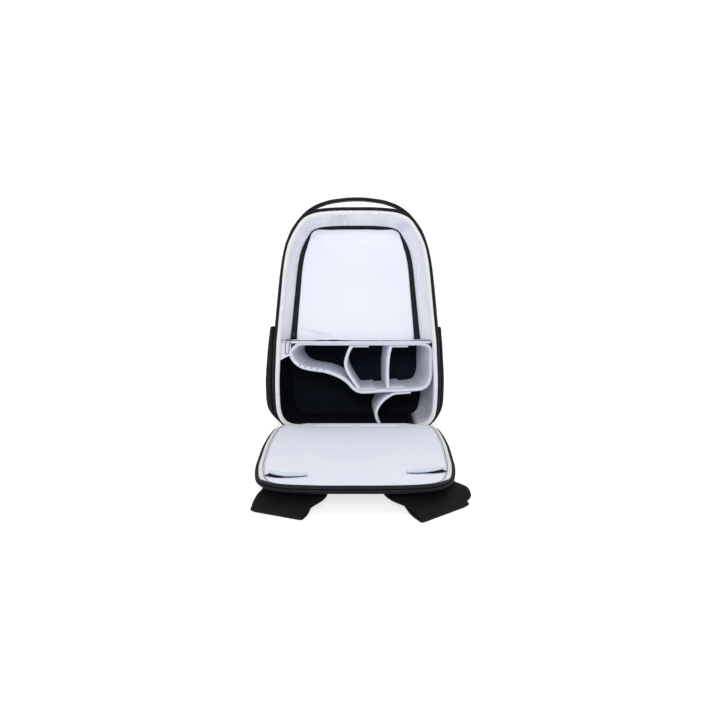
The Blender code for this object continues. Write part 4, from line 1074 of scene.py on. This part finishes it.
def makeWeb(name, node, rows, seed):
    # upright divider: a padded strip from its foot on the loop up to its head, and a thin
    # sewn tab along the loop at each end
    web = np.array(rows) * loopScale
    half, lift = cell["thick"] / 2, gap + cell["tabThick"] / 2
    for k, lower, push in ((0, True, lift), (-1, False, -lift)):
        web[k, 1] = faceHeight(loopInner, web[k, 0], lower) + push
    line = curveThrough(web, 9)
    padStrip(name, node, line, sideways(line), cell["thick"], seed)
    for end, lower, push, part in ((web[0], True, lift, "Foot"), (web[-1], False, -lift, "Head")):
        x = np.linspace(end[0] - half, end[0] + half + cell["tabLength"], 40)
        line = np.column_stack([x, faceHeight(loopInner, x, lower) + push])
        padStrip(name + part, (), line, sideways(line), cell["tabThick"], seed + 1)


def makeLensDivider():
    # the curved divider of the lower right cell: a thin tab under the loop that thickens into
    # a strip down to the floor
    web = np.array(cell["lensWeb"]) * loopScale
    floor = max(shellRings([d], liningInset([d]))[0][0, 1]
                for d in (padRows[0, 0] * body["cellDepth"], shellRows[1, 0] * body["depth"]))
    web[-1, 1] = floor + gap
    tabX = np.array(cell["lensTab"]) * loopScale[0]
    tab = np.column_stack([tabX, faceHeight(loopOuter, tabX, True) - gap - cell["tabThick"] / 2])
    line = curveThrough(np.vstack([tab, web]), 10)
    count = 10 * len(cell["lensTab"])
    thick = np.full(len(line), cell["thick"])
    thick[:count] = np.linspace(cell["tabThick"], cell["thick"] * 0.8, count)
    seat = faceHeight(loopOuter, line[:count, 0], True) - gap - thick[:count] / 2
    line[:count, 1] = np.minimum(line[:count, 1], seat)
    padStrip("lensDivider", "divider_lower_right", line, sideways(line), thick, 63)


def makeCellBack():
    # the dark back wall: rows from the floor up to the shelf, softly dimpled
    depth = body["cellDepth"] + gap
    loop = shellRings([depth], body["shellWall"] * cell["backSeat"] + gap)[0][:rimTop]
    z = np.linspace(loop[0, 1] + gap, body["shelf"] - gap, 60)[:, None]
    order = np.argsort(loop[:, 1])
    half = np.interp(z, loop[order, 1], loop[order, 0]) - 0.0006
    half[0] = half[1]
    x = half * np.linspace(-1, 1, 100)[None, :]
    dimple = 0.0010 * softNoise(x, z, 0.03, 0.09, 71)
    piece = clothPiece("cellBack", place(x, frontY + depth + 0.0001 + dimple * 0.6, z),
                       "navyBackAndShade", "cell_back", wall=0.0024)


def makeNotchThreads():
    # one dark thread pulled over the loop's upper edge in each notch
    line = np.vstack([loopLine, loopLine[:1]])
    run = lengthAlong(line)
    at = np.array(cell["notches"]) * run[-1]
    lean = readAt(at, run, np.vstack([loopNormal, loopNormal[:1]]))
    spot = readAt(at, run, line) - lean * cell["loopThick"] * 0.30
    middle = place(spot[:, 0], frontY + cell["setback"] + 0.0014, spot[:, 1])
    along = np.column_stack([lean[:, 0], 0 * at, lean[:, 1]])
    threads("loopNotches", middle, along, toViewer, 0.0055, 0.00042, "navyBackAndShade")


makeNotchThreads()
makeCornerTuck()
padStrip("loopDivider", "loop_divider", loopLine, loopNormal, cell["loopThick"], 62, True,
         cell["notches"])
makeWeb("webLeft", "divider_left", cell["leftWeb"], 64)
makeWeb("webRight", "divider_right", cell["rightWeb"], 66)
makeLensDivider()
makeCellBack()
print("cells done")

handle = {"width": 0.030, "thick": 0.0052, "rise": 0.0222, "setback": 0.035, "round": 0.0022,
          "seam": 0.0042, "groove": 0.16, "ribs": 0.04, "ribPitch": 0.0021,
          "taper": 0.030, "thinEnd": 0.16, "tacks": (0.004, 0.024),
          "stitch": (0.0034, 0.00028), "tack": (0.0030, 0.00034),
          "rows": ((0.870, 0.366), (0.717, 0.639), (0.580, 0.785), (0.442, 0.889),
                   (0.200, 0.978), (0.060, 1.000))}


def makeHandle():
    # a flat band bent into an arch, its section a slab with round edges and two sewn lines
    loop = shellRings([shellRows[2, 0] * body["depth"]])[0]
    seat = loop + outward(loop) * (2.5 * gap + handle["thick"] / 2)
    n = body["steps"]
    root = [seat[15 * n] * 0.6 + seat[16 * n] * 0.4, seat[16 * n], seat[17 * n], seat[18 * n]]
    reach, low = root[-1]
    rise = body["height"] + handle["rise"] + handle["thick"] / 2 - low
    rest = [(reach * across, low + rise * up) for across, up in handle["rows"]]
    half = np.array(root + rest)
    line = evenly(curveThrough(np.vstack([half, half[::-1] * otherSide]), 10), 300)
    normal = sideways(line)
    up = np.sign(normal[150, 1])
    side, deep = padEdge(2.0, 0.0, handle["width"], handle["round"], 15)
    run = lengthAlong(line)[:, None]
    slim = handle["groove"] * hump(np.minimum(deep, handle["width"] - deep), handle["seam"],
                                   0.0007)
    ribs = handle["ribs"] * beat(run, handle["ribPitch"])
    end = np.clip(np.minimum(run, run[-1] - run) / handle["taper"], 0, 1)
    thin = handle["thinEnd"] + (1 - handle["thinEnd"]) * end
    line = line - normal * (handle["thick"] * (1 - thin) / 2) * up
    x, z = moved(line, normal, handle["thick"] / 2 * side * (1 - slim - ribs) * thin)
    y = frontY + handle["setback"]
    tubePiece("carryHandle", place(x, y + deep, z), "strapWebbing", "grab_handle")
    out = line + normal * (handle["thick"] / 2 * 0.93 * thin) * up
    for k, inset in enumerate((handle["seam"], handle["width"] - handle["seam"])):
        stitches(f"handleStitches{k}", place(out[:, 0], y + inset, out[:, 1]), upward,
                 *handle["stitch"], "darkThread")
    # two cross rows at each end, where the band is sewn down
    across = y + np.linspace(handle["seam"], handle["width"] - handle["seam"], 9)
    for k, back in enumerate(handle["tacks"]):
        for part, at in (("Right", back), ("Left", run[-1, 0] - back)):
            j = int(np.argmin(np.abs(run[:, 0] - at)))
            stitches(f"handleTack{part}{k}", place(out[j, 0], across, out[j, 1]),
                     np.array([normal[j, 0], 0, normal[j, 1]]) * up, *handle["tack"],
                     "strapWebbing")


makeHandle()
print("handle done")

flap = {"length": 0.429, "width": 0.312, "rise": 0.020, "hingeHeight": 0.014,
        "hingeGap": 0.0045, "lining": 0.0021, "board": 0.0040, "edge": 0.0030,
        "drop": 0.0045, "crown": 0.0012,
        "rows": np.array([
            (0.000, 0.005), (0.350, 0.005), (0.692, 0.005), (0.859, 0.010), (0.942, 0.026),
            (0.978, 0.058), (0.994, 0.105), (1.000, 0.210), (0.994, 0.303), (0.981, 0.420),
            (0.958, 0.536), (0.936, 0.629), (0.917, 0.711), (0.891, 0.781), (0.856, 0.851),
            (0.814, 0.909), (0.750, 0.949), (0.654, 0.976), (0.513, 0.991), (0.321, 0.998),
            (0.154, 1.000), (0.000, 1.000)])}
flapAngle = math.asin(flap["rise"] / flap["length"])
flapControl = mirrorLoop(np.column_stack([flap["rows"][:, 0] * flap["width"] / 2,
                                          flap["rows"][:, 1] * flap["length"]]))


def flapPoint(x, along, height):
    # across, from the hinge along the panel, and above its top face
    c, s = math.cos(flapAngle), math.sin(flapAngle)
    return place(x, frontY - flap["hingeGap"] - along * c + height * s,
                 flap["hingeHeight"] + along * s + height * c)


def makeFlapBoard():
    # rings of the panel's edge from its underside up to the ledge and the lining's seat
    drop, board, edge = flap["drop"], flap["board"], flap["edge"]
    under, seat = drop + board, flap["lining"] + 2 * gap
    layers = np.array([(-0.080, -under), (-0.030, -under), (-0.006, -under),
                       (-0.0015, -under + 0.10 * board), (edge - 0.0018, -under + 0.25 * board),
                       (edge - 0.0004, -under + 0.50 * board), (edge, -under + 0.72 * board),
                       (edge - 0.0006, -drop - 0.0003), (edge - 0.0018, -drop),
                       (0.0012, -drop), (-0.0004, -drop), (-0.0010, -drop + 0.0006),
                       (-0.0010, -seat), (-0.030, -seat), (-0.080, -seat)])
    base, normal = fineLoop(flapControl, 10)
    run = loopRun(base)
    wave = np.abs(0.0004 * ripple(run, run * 0.5, 0.03, 0.09, 81))
    reach = layers[:, 0] - wave[:, None] * (layers[:, 0] > 0)
    across, along = moved(base, normal, reach)
    piece = tubePiece("backPanelBoard", flapPoint(across.T, along.T, layers[:, 1:]),
                      "shellNylon", "flap_board")


flapFolds = ((-0.130, 0.060, -0.128, 0.330, -0.0007, 0.004),
             (0.132, 0.060, 0.128, 0.300, -0.0007, 0.004))


def liningHeight(x, along, inside):
    # low crown, broad waves and pressed lines
    height = -gap + flap["crown"] * inside + 0.0007 * inside * ripple(x, along, 0.05, 0.16, 91)
    return height + foldHeight(x, along, flapFolds) * inside


def makeFlapLining():
    # the lining sheet: rows across from the hinge to the near end, with a low crown
    fine, normal = fineLoop(flapControl, 10)
    edge = fine - normal * (body["bindingWidth"] + gap)
    half = edge[:len(edge) // 2 + 1]
    half = evenly(half[np.abs(half[:, 0]) > 0.002], 160)
    a = np.linspace(1, -1, 101)[None, :]
    x = half[:, :1] * a
    along = np.broadcast_to(half[:, 1:], x.shape)
    inside = (1 - np.abs(a) ** 4) * np.clip((along - 0.008) / 0.03, 0, 1) \
        * np.clip((flap["length"] - 0.010 - along) / 0.03, 0, 1)
    piece = clothPiece("backPanelLining", flapPoint(x, along, liningHeight(x, along, inside)),
                       "flapCloth", "flap_lining", wall=flap["lining"] * 0.8)


flapBinding = {"high": 0.0012, "inner": -0.0004, "groove": 0.77, "grooveDeep": 0.0004}


def makeFlapBinding():
    # the panel's rolled tape: a low crowned section with a sewn groove near its inner edge
    low, inner = -gap - flap["lining"], flapBinding["inner"]
    wide, high = body["bindingWidth"], flapBinding["high"]
    crown = np.array([(-0.12, 0.6), (-0.3, 0.9), (-0.5, 1.0), (-0.70, 0.85), (-0.77, 0.40),
                      (-0.84, 0.62), (-0.93, 0.30)]) * (wide, high)
    profile = curveThrough(np.vstack([[(inner, 0.5 * low), (-0.0006, 0.2 * high)], crown,
                                      [(-wide, -gap), (-wide, low), (inner, low)]]), 2,
                           closed=True)
    base, normal = fineLoop(flapControl, 24)
    run = loopRun(base)[:, None]
    tuck = beat(run, bindingLook["stitch"])
    groove = hump(profile[:, 0], -flapBinding["groove"] * wide, 0.0006) * (profile[:, 1] > 0)
    height = profile[:, 1] - flapBinding["grooveDeep"] * groove * (0.6 + 0.4 * tuck)
    height = height * (1 + 0.15 * ripple(run, run, 0.03, 0.08, 93) * (height > 0))
    clothPiece("backPanelBinding", flapPoint(*moved(base, normal, profile[:, 0]), height),
               "bindingTape", "flap_binding", wrapRows=True, wrapCols=True, solid=True)
    seam = base - normal * flapBinding["groove"] * wide
    line = flapPoint(seam[:, 0], seam[:, 1], 0.0004)
    stitches("backPanelStitches", np.vstack([line, line[:1]]), upward, bindingLook["stitch"],
             bindingLook["flapThread"], "greyThread")


hem = {"reach": -0.0022, "height": -0.0002, "wide": 0.0046, "tall": 0.0027, "from": 0.86,
       "tuckUnder": 0.0022}


def makeNearHem():
    # black rolled hem over the near edge: an oval section that dies away up both sides
    fine, normal = fineLoop(flapControl, 40)
    used = np.nonzero(fine[:, 1] > hem["from"] * flap["length"])[0]
    line, normal = fine[used], normal[used]
    share = np.clip((line[:, 1] / flap["length"] - hem["from"]) / (1 - hem["from"]), 0, 1)
    fade = (np.sin(share * math.pi / 2) ** 0.8)[:, None]
    turn = fullTurn(18)[None, :]
    soft = 1 + 0.10 * ripple(lengthAlong(line)[:, None], turn * 0.004, 0.03, 0.08, 96)
    back = hem["tuckUnder"] * (1 - fade)
    reach = hem["reach"] + back + hem["wide"] * np.cos(turn) * (0.15 + 0.85 * fade)
    height = hem["height"] - back + hem["tall"] * np.sin(turn) * fade * soft
    tubePiece("backPanelHem", flapPoint(*moved(line, normal, reach), height), "zipTape")


def makeMainZipFlap():
    # the panel's half of the long zip, a flat tape beside its edge; section in shares
    shares = np.array([(0.0, 0.0), (0.5, 0.0), (1.0, 0.0), (0.97, 0.4), (0.82, 0.60),
                       (0.62, 0.72), (0.42, 0.6), (0.22, 0.5), (0.0, 0.45)])
    shape = shares * (body["zipWidth"], body["zipThick"]) + (0.0, gap - flap["drop"])
    shape[:, 0] = np.maximum(shape[:, 0], 0.0002)
    zipBand("mainZipFlap", "main_zip_flap", flapControl, 0.058 * flap["length"], shape,
            zipLook["toothAt"] * body["zipWidth"], zipLook["tooth"] * 0.8, flapPoint)


garterLook = {"width": 0.016, "thick": 0.0030, "shadeFar": 0.0090,
              "left": ((-0.755, 0.846), (-0.670, 0.868), (-0.564, 0.880), (-0.420, 0.872)),
              "right": ((0.462, 0.838), (0.580, 0.836), (0.690, 0.820), (0.795, 0.798)),
              # share of the half width across, share of the height
              "lip": ((-1.0, 0.05), (-0.86, 0.35), (-0.60, 0.66), (-0.25, 0.88), (0.10, 1.0),
                      (0.45, 1.05), (0.72, 1.0), (0.90, 0.84), (1.0, 0.60), (0.92, 0.42),
                      (0.70, 0.36), (0.40, 0.38), (0.0, 0.36), (-0.45, 0.22), (-0.8, 0.06))}


def makeGarter(name, node, rows, outerFirst):
    # an elastic-edged lip: it rises from the lining on its far side, rolls over and hangs
    # free on its near side, high in the middle and low at both ends
    scale = np.array([flap["width"] / 2, flap["length"]])
    line = evenly(curveThrough(np.array(rows) * scale, 12), 90)
    side = sideways(line)
    side = side * np.sign(side[:, 1:2].mean())
    share = np.linspace(0.08, 0.92, len(line))[:, None]
    shape = 0.35 + 0.65 * np.sin(math.pi * share)
    tall = garterLook["thick"] * (1 + shape) * (1 + 0.15 * ripple(line[:, :1], line[:, 1:], 0.01,
                                                                  0.03, 95))
    half = garterLook["width"] / 2 * shape
    across, rise = np.array(garterLook["lip"]).T
    height = tall * rise + flap["crown"] * 0.2
    # the lip's cloth is darkened and blued as painted shade
    piece = tubePiece(name, flapPoint(*moved(line, side, half * across), height),
                      "garterShadedCloth", node)
    # painted shade: a dark sheet for the shadow in the gap under the lip, wide at the outer end, a
    # thin line at the inner one
    fade = share if outerFirst else 1 - share
    open = np.clip(1 - fade / 0.62, 0, 1) ** 1.3
    inner = half * 0.20
    outer = half * (0.50 + 0.50 * np.minimum(open * 4, 1)) + garterLook["shadeFar"] * open
    x, along = moved(line, side, inner + (outer - inner) * np.linspace(0, 1, 8))
    clothPiece(name + "Inside", flapPoint(x, along, liningHeight(x, along, 1.0) + 0.0004),
               "navyBackAndShade", wall=0.0003)


def boardUnder(along):
    # height of the board's underside over the floor, so far from the hinge
    return (flap["hingeHeight"] - (flap["drop"] + flap["board"]) / math.cos(flapAngle)
            + along * math.tan(flapAngle))


hinge = {"thick": 0.0014, "width": 0.236, "near": 0.0135, "front": 0.0220, "linings": 0.224}


def makeHingeStrip():
    # cloth strip from under the bag to under the panel
    near, front = hinge["near"], hinge["front"]
    rise, last = (boardUnder(way - flap["hingeGap"]) - hinge["thick"] - gap
                  for way in (near, front))
    run = curveThrough(((body["setback"] - 2 * gap, 0.0), (-0.003, 0.0), (-0.0095, 0.6 * rise),
                        (-near, rise), (-front, last)), 6)
    x = np.linspace(-hinge["width"] / 2, hinge["width"] / 2, 80)[None, :]
    grid = place(x, frontY + run[:, :1], np.maximum(run[:, 1:], 0.0) + hinge["thick"])
    piece = clothPiece("hingeStrip", grid, "shellNylon", "hinge_strip",
                       wall=hinge["thick"] * 0.8, flip=True)


def makeHingeLining():
    # the lining carried over the hinge: from the cells' floor edge across both bindings
    reach = hinge["linings"] / 2
    across = np.linspace(-reach, reach, 150)[:, None]
    rows = ((0.0042, 0.0138), (0.0030, 0.0146), (0.0012, 0.0149), (-0.0010, 0.0149),
            (-0.0032, 0.0150), (-0.0062, 0.0155), (-0.0095, 0.0158), (-0.0130, 0.0159),
            (-0.0165, 0.0158))
    run = curveThrough(rows, 4)
    side = np.clip((reach - np.abs(across)) / 0.016, 0, 1) ** 0.7
    dip = 0.0003 * ripple(across, run[:, 0], 0.02, 0.06, 97) - 0.0016 * (1 - side)
    piece = clothPiece("hingeLining", place(across, frontY + run[:, 0], run[:, 1] + dip),
                       "flapCloth", wall=0.0005)


makeFlapBoard()
makeFlapLining()
makeFlapBinding()
makeNearHem()
makeHingeLining()
makeMainZipFlap()
makeGarter("garterLeft", "corner_garter_left", garterLook["left"], True)
makeGarter("garterRight", "corner_garter_right", garterLook["right"], False)
makeHingeStrip()
print("back panel done")

strap = {"thick": 0.0098, "pinch": 0.40, "foldGap": 0.0008, "inset": 0.0012,
         "webWidth": 0.025, "webThick": 0.0016, "webReach": 0.045, "webSpread": 0.295,
         "shares": (1.0, 1.0, 0.90, 0.62, 0.40), "backShares": (0.75, 1.0, 1.0, 0.8),
         "left": {"top": ((-0.284, 0.790, -0.089, 0.790), (-0.293, 0.874, -0.084, 0.884),
                          (-0.304, 0.930, -0.090, 0.950), (-0.311, 0.962, -0.127, 1.005),
                          (-0.312, 0.980, -0.148, 1.050)),
                  "back": ((-0.308, 0.950, -0.135, 1.000), (-0.300, 0.830, -0.130, 0.850),
                           (-0.292, 0.660, -0.160, 0.660), (-0.272, 0.500, -0.196, 0.500))},
         "right": {"top": ((0.300, 0.780, 0.105, 0.790), (0.328, 0.822, 0.085, 0.882),
                           (0.362, 0.864, 0.105, 0.957), (0.366, 0.908, 0.160, 1.010),
                           (0.348, 0.938, 0.188, 1.070)),
                   "back": ((0.350, 0.900, 0.160, 1.000), (0.325, 0.800, 0.140, 0.840),
                            (0.300, 0.660, 0.160, 0.660), (0.272, 0.500, 0.196, 0.500))}}


def floorPoint(x, along, height):
    # across, from the hinge along the floor, and above it
    return place(x, frontY - flap["hingeGap"] - along, height)


def makeStrap(name, node, rows):
    # a pad folded double: two faces carried out along the top layer, round the fold and back,
    # joined by round edges
    top = np.array(rows["top"]) * flap["length"]
    back = np.array(rows["back"]) * flap["length"]
    space = strap["foldGap"]
    full = strap["thick"]
    pinch = full * strap["pinch"]
    ends = top[-1]
    fold = ends[2:] - ends[:2]
    out = np.array([-fold[1], fold[0]]) / np.linalg.norm(fold)
    out = out * np.sign(out[1])
    stations = [(row, 0.0, 2 * full * share + space, 0.0, full * share + space)
                for row, share in zip(top, strap["shares"])]
    middle = pinch + space / 2
    for angle in (30, 60, 90, 120, 150, 180):
        s, c = math.sin(math.radians(angle)), math.cos(math.radians(angle))
        stations.append((ends, middle * s, middle + middle * c, space / 2 * s,
                         middle + space / 2 * c))
    stations += [(row, 0.0, 0.0, 0.0, full * share)
                 for row, share in zip(back, strap["backShares"])]
    table = np.array([[*row, a, b, c, d] for row, a, b, c, d in stations])
    fine = curveThrough(table, 12)
    fine[:, 4:] = np.column_stack([np.interp(np.arange(len(fine)) / 12, np.arange(len(table)),
                                             table[:, k]) for k in range(4, 8)])
    turn = np.linspace(0, math.pi, 7)[1:-1]
    there, one = np.linspace(0.0, 1.0, 26), np.ones(26)
    share = np.concatenate([there, one[:5], there[::-1], 0 * one[:5]])
    skin = np.concatenate([0 * one, (1 - np.cos(turn)) / 2, one, 1 - (1 - np.cos(turn)) / 2])
    bulge = np.concatenate([0 * one, np.sin(turn), 0 * one, -np.sin(turn)])
    near = np.minimum(share, 1 - share)
    a, b = fine[:, None, :2], fine[:, None, 2:4]
    along = unit(b - a)
    pull = np.where(share < 0.5, 1, -1) * hump(near, 0, 0.05) + bulge
    plan = a + (b - a) * share[:, None] + along * (strap["inset"] * pull)[:, None]
    shift = fine[:, 4:5] * (1 - skin) + fine[:, 6:7] * skin
    level = fine[:, 5:6] * (1 - skin) + fine[:, 7:] * skin
    centre = (fine[:, 5:6] + fine[:, 7:]) / 2
    level = centre + (level - centre) * (1 - 0.5 * hump(near, 0.0, 0.035))
    quilt = 0.0006 * softNoise(plan[..., 0], plan[..., 1], 0.02, 0.06, 101)
    level = np.maximum(level - np.where(skin < 0.5, quilt, 0) * (level > 0.004), 0.0)
    grid = floorPoint(plan[..., 0] + out[0] * shift, plan[..., 1] + out[1] * shift, level)
    piece = tubePiece(name, grid, "strapCloth", node)


def makeWebbing(name, node, rows, sign):
    # flat ribbed tape from the strap's end to the lower corner of the panel
    ends = np.array(rows["back"][-1]) * flap["length"]
    start = (ends[:2] + ends[2:]) / 2 - np.array([0.0, 2 * gap])
    stop = np.array([sign * strap["webSpread"], strap["webReach"]]) * flap["length"]
    rise = boardUnder(stop[1]) - strap["webThick"] - 2 * gap
    share = np.linspace(0, 1, 150)
    low = np.interp(share, (0.0, 0.6, 0.85, 1.0), (0.0, 0.0, 0.6 * rise, rise))
    plan = start + (stop - start) * share[:, None]
    side = np.linspace(-1, 1, 15)
    ribs = 0.00012 * np.cos(2 * math.pi * share[:, None] * 95)
    level = low[:, None] + strap["webThick"] - 0.00015 + ribs - 0.0004 * np.abs(side) ** 8
    grid = floorPoint(plan[:, :1] + side * strap["webWidth"] / 2, plan[:, 1:], level)
    clothPiece(name, grid, "strapWebbing", node, wall=strap["webThick"] * 0.7)


for side, sign in (("left", -1), ("right", 1)):
    makeStrap("shoulderStrap" + side.capitalize(), "shoulder_strap_" + side, strap[side])
    makeWebbing("harnessWebbing" + side.capitalize(), "strap_webbing_" + side, strap[side], sign)
print("harness done")

slider = {"power": 0.45, "waist": 0.22, "bridge": 0.35}


def makeSlider():
    # a waisted, rounded body: a super-ellipse in plan whose width narrows at the middle
    centre, size = boxOf("u_zip_slider")
    v = np.linspace(-math.pi / 2, math.pi / 2, 25)[:, None]
    u = fullTurn(36)[None, :]

    def blunt(wave):
        # the wave pushed outwards, so that a round turns into a rounded box
        return np.sign(wave) * np.abs(wave) ** slider["power"]

    x, y, z = blunt(np.cos(u)) * blunt(np.cos(v)), blunt(np.sin(u)) * blunt(np.cos(v)), \
        blunt(np.sin(v)) + 0 * u
    waist = 1 - slider["waist"] * hump(z, -0.35, 0.45)
    bridge = 1 - slider["bridge"] * hump(np.abs(x), 1.0, 0.35) * (y < 0)
    grid = centre + place(x * waist, y * bridge, z) * size / 2
    tubePiece("zipSlider", grid[1:-1], "sliderMetal", "u_zip_slider")


makeSlider()

studio = {"floor": 0.50, "glow": 0.74, "world": 0.55, "key": 25.0, "top": 13.0}


def makeStage():
    # one white sheet: flat under the bag, then curved up behind it
    turn = np.radians(np.linspace(0, 90, 24))
    y = np.concatenate([[-6.0, -1.0], 2.6 + 1.4 * np.sin(turn), [4.0]])
    z = np.concatenate([[0, 0], 1.4 * (1 - np.cos(turn)), [7.0]]) - 0.0004
    mat, _, _ = newMaterial("studioWhite", {"Base Color": (studio["floor"],) * 3 + (1,),
                                            "Roughness": 0.9, "Specular IOR Level": 0.1,
                                            "Emission Color": (1, 1, 1, 1),
                                            "Emission Strength": studio["glow"]})
    grid = place(np.linspace(-7, 7, 9)[None, :], y[:, None], z[:, None])
    faces, _ = gridFaces(*grid.shape[:2], False, False)
    newObject("studioSheet", smoothMesh("studioSheet", grid, faces.tolist(), mat))


def makeLight(name, spot, aim, size, power):
    # a rectangular lamp at the spot, turned towards the aim
    data = bpy.data.lights.new(name, "AREA")
    data.shape = "RECTANGLE"
    data.size, data.size_y = size
    data.energy = power
    lamp = newObject(name, data)
    lamp.location = spot
    x, y, z = np.array(aim, float) - np.array(spot, float)
    lamp.rotation_euler = (math.atan2(math.hypot(x, y), -z), 0, math.atan2(x, -y) + math.pi)


def makeWorld():
    # seen directly the air is white, and it lights the bag more softly than that
    world = bpy.data.worlds.new("studioAir")
    world.use_nodes = True
    tree = world.node_tree
    seen = newNode(tree, "LightPath", {})
    power = newNode(tree, "MapRange", {"To Min": studio["world"], "To Max": 1.0,
                                       "Value": seen.outputs["Is Camera Ray"]})
    feed(tree, tree.nodes["Background"], {0: (1.0, 1.0, 1.0, 1), 1: power.outputs["Result"]})
    bpy.context.scene.world = world


makeStage()
makeWorld()
makeLight("frontLight", (-0.12, -2.6, 1.25), (0, 0, 0.22), (0.8, 0.7), studio["key"])
makeLight("topLight", (0.3, -0.5, 2.4), (0, -0.2, 0), (1.4, 1.4), studio["top"])
